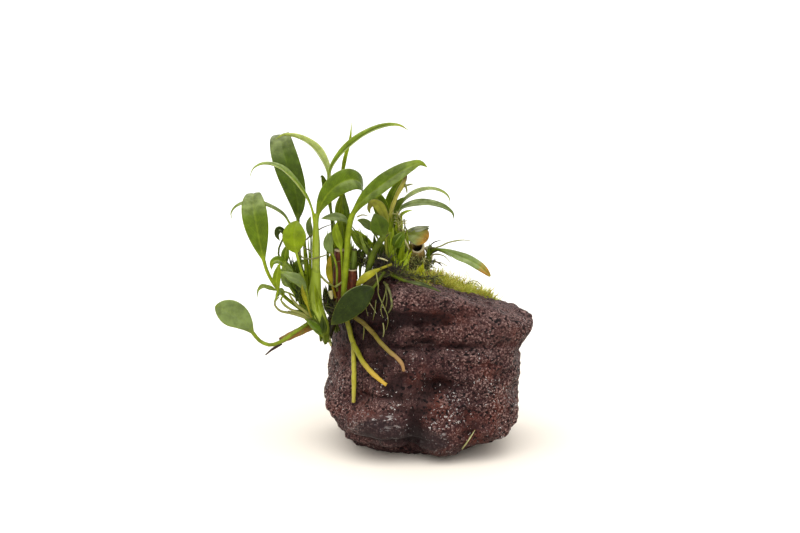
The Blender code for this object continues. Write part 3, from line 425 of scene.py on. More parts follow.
def stone_surface(settings):
    """A cube's grid blown out to stone_reach plus relief, lumps of noise and pits; vertices, faces and marks.

    The height mark is the sum of what stands out and of the painted shade and light of STONE_SHADE
    (HEIGHT_MARK gives each one's weight), less the pits.
    """
    directions, faces = blown_grid(settings.grid_cells)
    reach = stone_reach(directions)
    places = STONE_HEART + directions * reach[:, None]
    relief = add_swellings(places, STONE_RELIEF)
    smooth = np.clip(add_swellings(places, STONE_SMOOTH), 0.0, 1.0)
    rough = 1.0 - WORN_AWAY * smooth
    lumps = np.zeros_like(reach)
    for seed, (spacing, height) in enumerate(STONE_FINE_LUMPS, start=STONE_LUMP_SEED + 1):
        lumps += height * lattice_noise(places / spacing, seed) * rough
    hollows = rough * sum(size * pits(places, size * settings.pit_spacing, fill, seed)
                          for size, fill, seed in STONE_PITS)
    # The swellings together with the painted shade and light of STONE_SHADE; they go only into the height mark.
    wide = add_swellings(places, STONE_SWELLINGS + STONE_SHADE)
    reach += relief + lumps - settings.pit_depth * hollows
    places = STONE_HEART + directions * reach[:, None]
    places[:, 2] = np.maximum(places[:, 2], 0.0)
    height = HEIGHT_MARK["wide"] * wide + HEIGHT_MARK["relief"] * relief
    height += HEIGHT_MARK["lumps"] * (stone_lumps(places) + lumps)
    height -= HEIGHT_MARK["pits"] * settings.pit_depth * hollows
    marks = {"height": height, "smooth": smooth, "skyward": skyward(places, faces, directions)}
    return places, faces.tolist(), marks


# --- Routes and skins ------------------------------------------------------------------------------------

@dataclass
class Leaf:
    """One leaf: a round stalk that opens into a blade. Its upper face looks at the viewer at roll 0."""
    name: str
    finish: str
    half_width: float
    stalk: list
    blade: list
    roll: float = 0.0
    twist: float = 0.0
    fold: float = 0.1
    widest: float = 0.45
    fullness: float = 0.85
    stalk_radius: float = 0.55
    phase: float = 0.0       # of the edge's undulation
    tone: float = 0.0        # lighter above 0, darker below


@dataclass
class Stem:
    """One round piece: its route and its radii at equal steps along it."""
    name: str
    finish: str
    route: list
    radii: list
    on_stone: bool = False
    sink: float = 1.5
    lumps: float = 1.0       # how uneven, against the usual


@dataclass
class Thread:
    """One fine root, stem or fibre; `tone` goes from dark (0) to pale (1)."""
    name: str
    radius: float
    tone: float
    route: list
    on_stone: bool = False


@dataclass
class Sheaf:
    """Slim blades that rise close together, from about `foot` to about `tip`."""
    name: str
    finish: str
    count: int
    half_width: float
    foot: tuple
    tip: tuple
    spread: tuple            # of the feet and of the tips, mm
    bow: float               # how far the middles bend out


EDGE_WAVE = 0.15         # height of the undulation of a leaf's edge, mm
EDGE_WAVES = 2.3         # how many along the blade
RIB_GROOVE = 0.22        # depth of the line along a leaf's middle, mm
RIB_HALF_WIDTH = 0.45    # of that line, mm
LEAF_SINK = 2.5          # how far a leaf's foot goes on into what carries it
FRAME_AT = 0.45          # share of the blade at which `roll` is measured
CURVE_STEPS = 32         # of a smooth route between two of its points
FURTHEST_FORWARD = 45.0  # in front of the stone's heart, where the search for its face ends
SEARCH_STEP = 0.1
STEM_FACING = np.array([0.3, -0.9, 0.3])
STRAND_ASIDE = np.array([0.35, 0.15, 0.92])
LUMP_SPACING = 1.6       # of the lumps on a stem, mm; finer ones are half as far apart and half as high


def seen_points(route):
    """The points at depth `back` on the sight lines through (across, up) of the front view."""
    route = np.asarray(route, float)
    on_plane = route[..., 0:1] * ACROSS + route[..., 1:2] * UP
    way = (route[..., 2:3] - EYE[1]) / (on_plane[..., 1:2] - EYE[1])
    return EYE + way * (on_plane - EYE)


def clear_of_stone(point, room):
    """The seen point, brought forward where the stone would be nearer than `room`."""
    depths = np.arange(point[2], STONE_HEART[1] - FURTHEST_FORWARD, -SEARCH_STEP)
    places = seen_points(np.stack([np.full_like(depths, point[0]), np.full_like(depths, point[1]), depths], 1))
    offsets = places - STONE_HEART
    free = np.linalg.norm(offsets, axis=1) - stone_reach(offsets) >= room
    return places[np.argmax(np.flip(np.logical_and.accumulate(np.flip(free))))]


def laid_points(route, on_stone, rooms):
    """The route's seen points, each kept clear of the stone by its own room where the piece lies on it."""
    if not on_stone:
        return seen_points(route)
    return np.array([clear_of_stone(point, room) for point, room in zip(route, rooms)])


def smooth_route(points):
    """A Hermite curve through the points: dense places, the run to each, and the run to each point."""
    steps = np.maximum(np.linalg.norm(np.diff(points, axis=0), axis=1), 1e-9)[:, None]
    slopes = np.diff(points, axis=0) / steps
    tangents = np.empty_like(points)
    tangents[1:-1] = (slopes[:-1] * steps[1:] + slopes[1:] * steps[:-1]) / (steps[1:] + steps[:-1])
    if len(points) == 2:
        tangents[:] = slopes[0]
    else:
        tangents[0] = 1.5 * slopes[0] - 0.5 * tangents[1]
        tangents[-1] = 1.5 * slopes[-1] - 0.5 * tangents[-2]
    u = np.linspace(0.0, 1.0, CURVE_STEPS + 1)[None, :, None]
    start, end, step = points[:-1, None], points[1:, None], steps[:, None]
    dense = start * (2 * u**3 - 3 * u**2 + 1) + end * (3 * u**2 - 2 * u**3)
    dense += step * tangents[:-1, None] * (u**3 - 2 * u**2 + u)
    dense += step * tangents[1:, None] * (u**3 - u**2)
    dense = np.concatenate([dense[:, :-1].reshape(-1, 3), points[-1:]])
    run = np.concatenate([[0.0], np.cumsum(np.linalg.norm(np.diff(dense, axis=0), axis=1))])
    return dense, run, run[np.arange(len(points)) * CURVE_STEPS]


def sunk_foot(points, depth):
    """The points with one more before the first, `depth` further back along the first stretch."""
    return np.concatenate([points[:1] - depth * unit(points[1:2] - points[:1]), points])


def places_along(dense, run, stations):
    return np.stack([np.interp(stations, run, dense[:, axis]) for axis in range(3)], axis=1)


def carried_frame(places, facing, middle):
    """Sides and normals along the places; the normal looks `facing` at `middle` and is carried from there."""
    tangents = unit(np.gradient(places, axis=0))
    normals = np.empty_like(tangents)
    normals[middle] = unit(facing - (facing @ tangents[middle]) * tangents[middle])
    for order in (range(middle + 1, len(places)), range(middle - 1, -1, -1)):
        previous = middle
        for station in order:
            carried = normals[previous] - (normals[previous] @ tangents[station]) * tangents[station]
            normals[station] = unit(carried)
            previous = station
    return np.cross(tangents, normals), normals


def leaf_surface(leaf, settings, ring_counts=None, leaf_sides=None):
    """Rings of a leaf and the marks that its finish reads.

    The outline's half width is half_width * sin(pi * b ** skew) ** fullness at the share b of the blade.
    The section is an ellipse, round on the stalk and flat on the blade, folded by fold * |x|,
    grooved along the middle by a bell and waved towards its edges by a sine of b.
    """
    dense, run, knots = smooth_route(sunk_foot(seen_points(leaf.stalk + leaf.blade), LEAF_SINK))
    opening = knots[len(leaf.stalk)]
    blade_run = run[-1] - opening
    stalk_rings, blade_rings = ring_counts or (settings.stalk_rings, settings.blade_rings)
    # Closer together at both ends of the blade; the last ring stops just short of the tip.
    eased = 0.5 - 0.5 * np.cos(np.linspace(0.0, math.pi, blade_rings + 1)[:-1] * 0.995)
    stations = np.concatenate([np.linspace(0.0, opening, stalk_rings, endpoint=False), opening + blade_run * eased])
    places = places_along(dense, run, stations)
    along = np.clip((stations - opening) / blade_run, 0.0, 1.0)
    climb = np.clip(stations / opening, 0.0, 1.0)
    middle = int(np.argmin(abs(along - FRAME_AT)))

    tangent = unit(np.gradient(places, axis=0)[middle])
    to_viewer = unit(-SIGHT + (SIGHT @ tangent) * tangent)
    roll = math.radians(leaf.roll)
    facing = math.cos(roll) * to_viewer + math.sin(roll) * np.cross(tangent, to_viewer)
    sides, normals = carried_frame(places, facing, middle)
    turn = np.radians(leaf.twist) * (along - along[middle])[:, None]
    sides, normals = (np.cos(turn) * sides + np.sin(turn) * normals,
                      np.cos(turn) * normals - np.sin(turn) * sides)

    skew = math.log(0.5) / math.log(leaf.widest)
    width = leaf.half_width * np.sin(math.pi * along ** skew) ** leaf.fullness
    # The stalk thins where the blade opens, and fades out towards the tip as the blade's middle rib.
    stalk = leaf.stalk_radius * (1 - 0.35 * np.clip(along / 0.12, 0, 1)) * (1 - 0.75 * along)
    flat = np.clip(width / (3 * leaf.stalk_radius), 0.0, 1.0)
    half = np.sqrt(width ** 2 + (stalk * np.sqrt(1 - 0.9 * along)) ** 2)[:, None]
    thick = (stalk * (1 - flat) + 0.5 * settings.thickness / MM * flat)[:, None]
    even = np.linspace(0.0, FULL_TURN, leaf_sides or settings.leaf_sides, endpoint=False)
    angles = even + 0.3 * np.sin(2 * even)   # closer together along the middle line
    x = half * np.cos(angles)
    upper = np.sin(angles) > 0
    flat = flat[:, None]
    outwards = abs(x) / leaf.half_width
    z = thick * np.sin(angles) + flat * leaf.fold * abs(x)
    z -= RIB_GROOVE * flat * np.exp(-(x / RIB_HALF_WIDTH) ** 2) * np.where(upper, 1.0, 0.6)
    swing = FULL_TURN * (EDGE_WAVES * along[:, None] + leaf.phase) + np.where(x > 0, 0.0, 1.7)
    z += EDGE_WAVE * flat * outwards ** 2 * np.sin(swing)
    rings = places[:, None] + x[..., None] * sides[:, None] + z[..., None] * normals[:, None]

    outward = np.cross(np.gradient(rings, axis=0), np.roll(rings, -1, axis=1) - np.roll(rings, 1, axis=1))
    steepness = outward[..., 2] / np.maximum(np.linalg.norm(outward, axis=-1), 1e-9)
    marks = {
        "skyward": np.clip((steepness - 0.45) / 0.5, 0, 1) * flat,
        "along": along[:, None],
        "climb": climb[:, None],
        "flat": flat,
        "under": np.clip(0.5 - 2.0 * np.sin(angles), 0, 1),
        "from_rib": abs(x),
        "from_edge": half - abs(x),
        "run": (stations - opening)[:, None],
        "tone": np.array(leaf.tone),
    }
    return rings, places[0], dense[-1], {mark: np.broadcast_to(values, x.shape) for mark, values in marks.items()}


def tube_surface(points, radii, sides, rings, lumps, seed):
    """Rings of a round stem carried along a smooth route, with a noise of `lumps` on its radius."""
    dense, run, _ = smooth_route(points)
    shares = np.linspace(0.0, 1.0, rings)
    places = places_along(dense, run, shares * run[-1])
    widths = np.interp(shares, np.linspace(0.0, 1.0, len(radii)), radii)[:, None]
    across, normals = carried_frame(places, STEM_FACING, rings // 2)
    angles = np.linspace(0.0, FULL_TURN, sides, endpoint=False)
    outward = np.cos(angles)[None, :, None] * across[:, None] + np.sin(angles)[None, :, None] * normals[:, None]
    skin = places[:, None] + widths[..., None] * outward
    coarse, fine = (lattice_noise(skin / spacing, seed + order)
                    for order, spacing in enumerate((LUMP_SPACING, 0.5 * LUMP_SPACING)))
    skin = places[:, None] + (widths * (1 + lumps * coarse + 0.5 * lumps * fine))[..., None] * outward
    marks = {
        "run": (shares * run[-1])[:, None],
        "share": shares[:, None],
        "turn": np.minimum(angles, FULL_TURN - angles)[None] / math.pi,
    }
    shape = skin.shape[:2]
    return skin, places[0], places[-1], {mark: np.broadcast_to(values, shape) for mark, values in marks.items()}


def closed_skin(rings, start, end, marks):
    """Vertices, faces and marks over the rings, drawn in to one point at each end.

    The two points take the marks of the first and the last ring.
    """
    rows, around = rings.shape[:2]
    vertices = np.concatenate([[start], rings.reshape(-1, 3), [end]])
    here = np.arange(around)
    beside = np.roll(here, -1)
    low = 1 + np.arange(rows - 1)[:, None] * around
    squares = np.stack([low + here, low + around + here, low + around + beside, low + beside], axis=-1)
    last, tip = 1 + (rows - 1) * around, 1 + rows * around
    foot_fan = np.stack([np.zeros_like(here), 1 + here, 1 + beside], axis=-1)
    tip_fan = np.stack([last + beside, last + here, np.full_like(here, tip)], axis=-1)
    faces = squares.reshape(-1, 4).tolist() + foot_fan.tolist() + tip_fan.tolist()
    return vertices, faces, {mark: np.concatenate([values[0, :1], values.reshape(-1), values[-1, :1]])
                             for mark, values in marks.items()}


def strand_skins(points, radii, sides):
    """Many thin tapering strands at once: points (strand, station, 3), radii (strand, station)."""
    tangents = unit(np.gradient(points, axis=1))
    across = unit(np.cross(tangents, STRAND_ASIDE))
    normals = np.cross(across, tangents)
    angles = np.linspace(0.0, FULL_TURN, sides, endpoint=False)
    outward = np.cos(angles)[:, None] * across[:, :, None] + np.sin(angles)[:, None] * normals[:, :, None]
    skin = points[:, :, None] + radii[:, :, None, None] * outward
    strands, stations = points.shape[:2]
    index = np.arange(strands * stations * sides).reshape(strands, stations, sides)
    beside = np.roll(index, -1, axis=2)
    squares = np.stack([index[:, :-1], index[:, 1:], beside[:, 1:], beside[:, :-1]], axis=-1).reshape(-1, 4)
    return skin.reshape(-1, 3), squares.tolist() + index[:, 0].tolist() + index[:, -1, ::-1].tolist()


def joined(parts):
    """One set of vertices, faces and marks from several."""
    vertices, faces, before = [], [], 0
    for part_vertices, part_faces, _ in parts:
        faces += [[corner + before for corner in face] for face in part_faces]
        vertices.append(part_vertices)
        before += len(part_vertices)
    marks = {mark: np.concatenate([part[2][mark] for part in parts]) for mark in parts[0][2]}
    return np.concatenate(vertices), faces, marks


def add_piece(name, surface, material, nodes, slot):
    """A smooth mesh piece in place, with its marks as attributes, riding on the body."""
    vertices, faces, marks = surface
    mesh = bpy.data.meshes.new(name)
    mesh.from_pydata((vertices * MM).tolist(), [], faces)
    mesh.polygons.foreach_set("use_smooth", np.ones(len(mesh.polygons), bool))
    for mark, values in marks.items():
        attribute = mesh.attributes.new(mark, "FLOAT", "POINT")
        attribute.data.foreach_set("value", np.ascontiguousarray(values, np.float32))
    mesh.materials.append(material)
    mesh.update()
    piece = bpy.data.objects.new(name, mesh)
    bpy.context.scene.collection.objects.link(piece)
    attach(piece, BODY)
    if nodes:
        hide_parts(*nodes)


# --- Growth ----------------------------------------------------------------------------------------------

TALL_LEAVES = [
    Leaf("leaf_front_tall", "mid", 4.6, [(-42.8, 71.6, -9), (-42.8, 80, -8.5), (-43, 92.4, -8)],
         [(-41.2, 97.2, -8.5), (-38, 101.8, -8.5), (-34, 105, -7), (-29.4, 106.6, -4), (-25.8, 105.2, 0),
          (-25.2, 101.2, 3.5), (-26.6, 98.2, 5)],
         roll=-8, fold=0.12, widest=0.52, fullness=0.8, stalk_radius=0.85, tone=-0.05),
    # Its tone lightens it for a painted sheen along the arch.
    Leaf("leaf_arch_left", "mid", 2.6, [(-44.5, 71.6, -10.2), (-44.5, 80, -10.2), (-44.4, 91.6, -9.5)],
         [(-46.2, 97.2, -10), (-49.4, 102.4, -10.5), (-53.4, 107.2, -11), (-57.4, 110.8, -11), (-61.8, 112.6, -11),
          (-65.8, 112.6, -11), (-68.8, 110.8, -11), (-70, 107.8, -11)],
         roll=76, fold=0.35, widest=0.5, stalk_radius=0.7, tone=0.2),
    Leaf("leaf_tall_dark", "dark", 5.2, [(-42.8, 51.2, 0), (-47.6, 60.8, 3.5), (-50, 74.4, 6), (-50.8, 90.8, 7)],
         [(-50.8, 95.6, 7.5), (-52.2, 103.2, 8.5), (-54.6, 110.8, 10.5), (-56.8, 118, 14), (-57.8, 122.8, 19),
          (-57.6, 124.6, 25), (-56.8, 122.8, 31), (-56, 118.4, 34)], widest=0.42, stalk_radius=0.7, tone=-0.08),
    Leaf("leaf_left_upright", "mid", 5.0,
         [(-50.4, 55.2, -6), (-56.4, 60, -8), (-60.4, 64.8, -8.5), (-63.2, 70, -8.5), (-64.4, 74, -8.5)],
         [(-65.6, 79.2, -8), (-67, 86, -7), (-68.2, 92.8, -5), (-68.8, 98, -0.5), (-68.6, 101, 5), (-68, 100, 10)],
         fold=0.08, widest=0.5, stalk_radius=0.7),
    Leaf("leaf_arch_behind", "mid", 2.4,
         [(-41.6, 52, 4), (-47.6, 63.2, 9), (-50.4, 74.4, 13), (-52.4, 83.2, 15), (-54, 88.8, 16)],
         [(-56.6, 92.4, 17), (-60.2, 94.8, 17), (-64.8, 96.6, 17), (-69.6, 97.2, 17), (-73.4, 96.8, 16.5),
          (-76.2, 95.2, 16), (-77.6, 92.8, 15.5), (-77.2, 90.8, 15)], roll=72, fold=0.3),
    Leaf("leaf_arch_top", "pale", 2.8, [(-33.6, 60.8, 2), (-36, 73.6, 8), (-37.2, 88.4, 12), (-38.4, 104.4, 13)],
         [(-39, 110.4, 13.5), (-41, 115.2, 14), (-44.2, 119.4, 14.5), (-48.2, 122.4, 14), (-52.4, 124, 13.2),
          (-56.6, 124.4, 12.4), (-59.8, 122.8, 12)], roll=122, fold=0.25, tone=0.16),
    Leaf("leaf_right_reaching", "reaching", 2.2,
         [(-32.4, 62.4, 1), (-34.4, 73.6, 3.5), (-36.4, 88.4, 4.5), (-39, 105.2, 3)],
         [(-37.4, 111, 2.5), (-34, 116.2, 2), (-29.2, 120.8, 1), (-23.6, 124.8, 0), (-18.6, 127.2, -1),
          (-14, 128.4, -2), (-10, 128.2, -3), (-6.6, 126.2, -4)], roll=-55, fold=0.45, widest=0.42, tone=0.12),
    Leaf("leaf_young_rolled", "fresh", 0.9,
         [(-32, 70.4, 3), (-33.6, 82.4, 4), (-34, 93.2, 5), (-33.6, 102.4, 6), (-33.2, 108.8, 7)],
         [(-32.4, 114.4, 7), (-31.2, 119.2, 7), (-30, 123.2, 7), (-29.6, 126.4, 7), (-29.4, 129.6, 7)],
         roll=30, fold=1.2, widest=0.3),
    Leaf("leaf_tip_hidden", "dark", 1.5, [(-36, 70.4, -0.5), (-36.8, 82.4, -1.5), (-38, 96.4, -2)],
         [(-39.2, 101.6, -2.5), (-40.4, 106, -3), (-41.4, 108, -3.5), (-42, 107.2, -4)], fold=0.2),
    Leaf("leaf_big_right", "mid", 4.3,
         [(-32.4, 62.4, -12.5), (-31.6, 72.4, -12), (-31, 80.4, -10), (-30.4, 87.2, -10), (-29.2, 92, -10)],
         [(-27.2, 95.3, -10.5), (-23.6, 99.4, -11), (-19.2, 102.9, -11.5), (-14.8, 106.2, -12), (-10.4, 109.2, -12),
          (-6, 111.7, -11.5), (-2, 113.2, -11), (1, 111.4, -11)],
         roll=-38, fold=0.15, widest=0.5, stalk_radius=1.15, tone=-0.09),
]

RIGHT_LEAVES = [
    Leaf("leaf_mid_right_back", "mid", 3.0, [(-15.8, 80, -3), (-16, 86.4, -0.5)],
         [(-16.8, 92.8, 0), (-18.6, 98, -0.5), (-20.8, 101.6, -1.5), (-22.4, 104.8, -2.5)], roll=-5),
    Leaf("leaf_mid_right_lit", "mid", 2.3, [(-13.6, 73.6, 1.5), (-13.6, 80, 2.5), (-14.4, 87.2, 3.5)],
         [(-14.2, 95.2, 3), (-12.8, 100.4, 2.5), (-10.4, 105.2, 2), (-8.4, 108, 1)]),
    Leaf("leaf_curled_brown", "curled", 2.0, [(-15.2, 75.2, -10), (-15.6, 82.4, -10), (-15.2, 88, -12)],
         [(-16.8, 93.2, -14), (-18.8, 96.4, -15), (-21.2, 97.2, -16), (-22.4, 95.2, -16.5), (-21.8, 92.8, -16.5)],
         roll=10),
    Leaf("leaf_round_dark", "dark", 3.7,
         [(-22.4, 71.2, -15), (-20.8, 76.4, -15), (-18.4, 81.2, -16), (-16.8, 83.8, -16)],
         [(-17.8, 86.8, -16.5), (-19, 90, -16.5), (-20.4, 93, -15.5)], fold=0.08, stalk_radius=1.25, tone=-0.2),
    Leaf("leaf_right_upper_arch", "grey", 1.9, [(-10.8, 72.8, 4), (-11.6, 79.2, 7), (-11.6, 87.2, 8), (-10.8, 94, 8)],
         [(-8.8, 97.6, 8), (-5.8, 100.2, 8), (-1.8, 102, 8), (2.4, 102.8, 8), (6.4, 102, 7.5), (9.2, 100, 7),
          (10, 98, 7), (9.8, 96.6, 7)], roll=-62, fold=0.3, widest=0.34),
    Leaf("leaf_right_lower_arch", "dark", 2.6, [(-12, 73.2, 1), (-12.4, 80, 4), (-12.4, 86.4, 4), (-11.6, 92, 4)],
         [(-9.6, 94.8, 4), (-6, 96.4, 4), (-0.8, 97, 4), (4, 96.6, 3.5), (8.2, 95.2, 3), (11.2, 92.8, 2.5),
          (11.4, 90.8, 2)], roll=-58, fold=0.25),
    Leaf("leaf_small_dark_top", "dark", 1.3, [(-11.6, 77.6, -1.5), (-12, 87.2, -1), (-12.2, 92.8, -1)],
         [(-11.2, 96, -1), (-9.6, 98.2, -1), (-7.6, 99.6, -1)], fold=0.2),
    Leaf("leaf_yellow_curl", "fresh", 1.0, [(-9.6, 76.6, -3.5), (-10.2, 82.4, -4.5), (-10.6, 87.2, -5)],
         [(-10.2, 90.8, -5), (-8.8, 93, -5), (-6.8, 94, -5), (-4.8, 94.4, -5)], roll=-50, fold=0.3),
    Leaf("leaf_dying_tip", "dying", 4.3, [(-9.2, 73.2, 6), (-10.4, 77.6, 6), (-10.2, 82, 5)],
         [(-8.2, 83.8, 4), (-5, 84.4, 3), (-1.8, 83.6, 2), (1, 82.2, 1)],
         roll=-30, fold=0.12, widest=0.72, fullness=0.5),
    Leaf("leaf_low_right", "tipped", 2.6, [(2, 76.2, 7), (3.2, 78.4, 5), (6, 78.6, 3)],
         [(10, 77.4, 1.5), (14, 75.7, 0), (18, 74, -1.5), (22, 71.6, -3), (26.2, 67.8, -4)],
         roll=-42, fold=0.12, widest=0.55, fullness=0.5),
    Leaf("leaf_on_stone", "deep", 1.1, [(-11.6, 67.6, -19), (-8.4, 66.2, -22)],
         [(-4, 65.2, -24), (1.2, 63.8, -25), (6.4, 61.6, -25.5)], roll=-50, fold=0.2, tone=-0.24),
    Leaf("leaf_centre_dark", "greyed", 1.7, [(-15.6, 73.6, 0), (-18, 81.2, 0), (-20.8, 86, 0)],
         [(-22.8, 88.4, 0), (-24.8, 89.8, 0), (-27.2, 90.4, 0)], stalk_radius=0.4),
]

SMALL_LEAVES = [
    Leaf("leaf_far_left", "greyed", 5.1,
         [(-47.2, 48.8, -13.5), (-52, 45.6, -15.5), (-57.6, 41.8, -15.5), (-62, 40.4, -15), (-66, 42, -14.5),
          (-68.8, 45.2, -14)],
         [(-71.4, 48.6, -13.5), (-74.4, 51.4, -13), (-78.4, 53.6, -12), (-84, 55.8, -10.5)],
         fold=0.06, widest=0.6, fullness=0.62, stalk_radius=0.75),
    Leaf("leaf_ovate_light", "light", 4.6,
         [(-47, 59.8, -13.5), (-48.7, 67.2, -15.2), (-50.4, 73.2, -17), (-51.4, 77.2, -17.5)],
         [(-52.2, 81.2, -18), (-52.2, 85.6, -17.5), (-51.2, 90.2, -15.5)], fold=0.08, widest=0.5, fullness=0.7),
    Leaf("leaf_small_hook", "deep", 1.3,
         [(-48, 57.2, -6), (-53.2, 66.4, -6.5), (-57.6, 73.6, -7.5), (-58.6, 76.8, -8), (-58.2, 80, -8.5),
          (-56.6, 83.2, -9)],
         [(-56.8, 85.8, -9.5), (-58.4, 86.6, -10), (-59.2, 84.8, -10), (-58, 82, -10)],
         roll=20, fold=0.2, stalk_radius=0.4),
    Leaf("leaf_small_upright", "mid", 1.6,
         [(-47.6, 56, -8), (-51.6, 63.2, -8), (-54.8, 70.4, -9), (-55.6, 72.8, -9.5)],
         [(-56, 75.6, -10), (-55.6, 78.4, -10), (-54.8, 80.8, -10)], stalk_radius=0.4),
    Leaf("leaf_small_folded", "mid", 1.8, [(-47.9, 58.4, -11.6), (-49.8, 63.2, -13), (-52.8, 69.2, -13)],
         [(-56.4, 72.8, -12.5), (-59.2, 74.4, -13), (-60.8, 73.6, -13.5), (-61.4, 70.4, -14)],
         roll=35, fold=0.2, stalk_radius=0.45),
    Leaf("leaf_small_bright", "bright", 1.6,
         [(-46.8, 52.6, -12.5), (-50, 53, -12.5), (-54.4, 53.4, -13), (-58.4, 54.4, -14), (-60.2, 56.8, -14.5),
          (-59.4, 59.6, -15), (-58.8, 62.4, -15.5)],
         [(-59.4, 66, -16), (-59, 69.6, -16), (-58, 73.2, -15.5)], fold=0.15, stalk_radius=0.4),
    Leaf("leaf_small_sheen", "greyed", 2.3, [(-46.4, 56.8, -14.5), (-47.6, 62, -16.6)],
         [(-50.4, 66.2, -17.8), (-54, 68, -18.2), (-58, 69.8, -18)], roll=30, fold=0.05, stalk_radius=0.4),
    Leaf("leaf_small_hanging", "dark", 1.7, [(-46, 62.4, -6.5), (-47.6, 68, -6), (-49.6, 69.4, -8)],
         [(-50.6, 66.4, -10), (-51.2, 62.8, -11), (-51.4, 59.2, -11)], roll=180, fold=-0.1, stalk_radius=0.35),
    Leaf("leaf_small_back_a", "greyed", 1.5, [(-48, 58.4, -4), (-52.4, 64, -3.5), (-53.6, 69.2, -4.5)],
         [(-51.6, 72.2, -5), (-48.8, 73.6, -5.5), (-46.4, 73.6, -6)], roll=-20, stalk_radius=0.35),
    Leaf("leaf_small_drooping", "bright", 1.5,
         [(-46.6, 53.4, -10), (-49.6, 56.8, -9), (-53.6, 60.8, -10.5), (-57.2, 62, -11.5), (-59.6, 62.4, -12)],
         [(-62.8, 63.4, -12.5), (-65.2, 63.6, -13), (-66.6, 62.4, -13), (-67, 59.2, -13)],
         roll=55, fold=0.2, twist=-60, stalk_radius=0.35),
    Leaf("leaf_small_strip", "greyed", 1.0,
         [(-47.2, 53.2, -8.5), (-50, 54, -9), (-53.6, 54.6, -9.5), (-56.4, 56.4, -10), (-57.6, 58.4, -10.5),
          (-56.4, 61.2, -12)],
         [(-57.6, 62.4, -12.5), (-58.6, 61.2, -12.5), (-59.8, 58.8, -12.5)], stalk_radius=0.35),
    Leaf("leaf_narrow", "yellow", 0.8, [(-46.2, 53.6, -16.5), (-46.8, 55.6, -17)],
         [(-47.8, 58.4, -17.5), (-48.8, 61.6, -18.4), (-49.2, 64.6, -19.2)], fold=0.3, stalk_radius=0.35),
    Leaf("leaf_small_grey", "greyed", 1.3, [(-44.8, 60, -4), (-45.6, 70.4, -1), (-45.6, 80.4, -1), (-45.6, 83.2, -1)],
         [(-46.2, 86.4, -1.5), (-46.4, 89.6, -1.5), (-45.6, 92, -1)], stalk_radius=0.35),
]

CENTRE_LEAVES = [
    Leaf("leaf_yellow_old", "yellow", 1.5, [(-15.6, 71.8, -17), (-17.6, 71, -17.5)],
         [(-21.2, 69.2, -18.5), (-24.8, 66.8, -19), (-27.4, 64, -19)], roll=180, widest=0.6, fullness=0.5),
    Leaf("leaf_front_dark", "deep", 4.9, [(-17.6, 67.6, -18.5), (-19.2, 65.2, -19.5), (-20.6, 63.4, -20.5)],
         [(-24.4, 60.8, -22), (-28.8, 57.2, -23), (-33.2, 52.8, -23), (-37.6, 48.4, -21)],
         roll=180, fold=-0.08, widest=0.42, tone=-0.1),
    Leaf("leaf_centre_grey", "greyed", 2.0, [(-35.2, 64.4, -8.5), (-35.6, 72.8, -8), (-37, 76.8, -7.5)],
         [(-38.6, 80, -7), (-38.2, 83.2, -6.5), (-35.8, 86.2, -6)], stalk_radius=0.45),
    Leaf("leaf_centre_spindle", "greyed", 2.0, [(-31.6, 67.2, -4), (-31.6, 78.4, -4), (-30.8, 88.8, -4.5)],
         [(-32.8, 91, -5), (-36.8, 91.6, -5.5), (-41.6, 91, -5.5)], roll=35, stalk_radius=0.45),
    Leaf("leaf_centre_bright", "bright", 1.7, [(-33.2, 64.8, -0.5), (-33.2, 78.4, 0), (-34, 88.8, 0)],
         [(-34.4, 93.6, 0), (-33.8, 97.6, 0), (-32.4, 102, 0)], stalk_radius=0.45),
    Leaf("leaf_centre_slim", "dark", 1.2, [(-30.4, 64.8, -3), (-30.6, 78.4, -1), (-30.8, 87.2, -2)],
         [(-31.2, 92.8, -2), (-32.2, 98, -2.5), (-32.6, 102.4, -2.5)], stalk_radius=0.45),
    Leaf("leaf_centre_low", "bright", 1.8, [(-33, 65.2, -9), (-33.2, 73.6, -8.5), (-33.6, 78.4, -8)],
         [(-34.6, 82, -7.5), (-35.6, 85.6, -7.5), (-35.2, 89.6, -7.5)], stalk_radius=0.45),
    Leaf("leaf_centre_right", "mid", 1.5, [(-19.2, 71.6, -6.5), (-21.6, 77.2, -6)],
         [(-25.2, 80, -7), (-28, 83.6, -7.5), (-30.2, 88, -8)], fold=0.15, stalk_radius=0.45),
    Leaf("leaf_centre_strip", "fresh", 1.2, [(-16.4, 72, -4), (-19.2, 77.6, -1.5)],
         [(-22.4, 81.2, -2), (-25.6, 84.4, -2), (-28.8, 86.8, -2)], fold=0.15, stalk_radius=0.4),
    Leaf("sheath_old", "orange", 1.3, [(-36.4, 61.6, -8), (-37.2, 64.4, -8)],
         [(-38.2, 68.4, -8.5), (-38.4, 72.8, -9), (-37.8, 76.6, -9.2)], fold=0.2, stalk_radius=0.5),
]

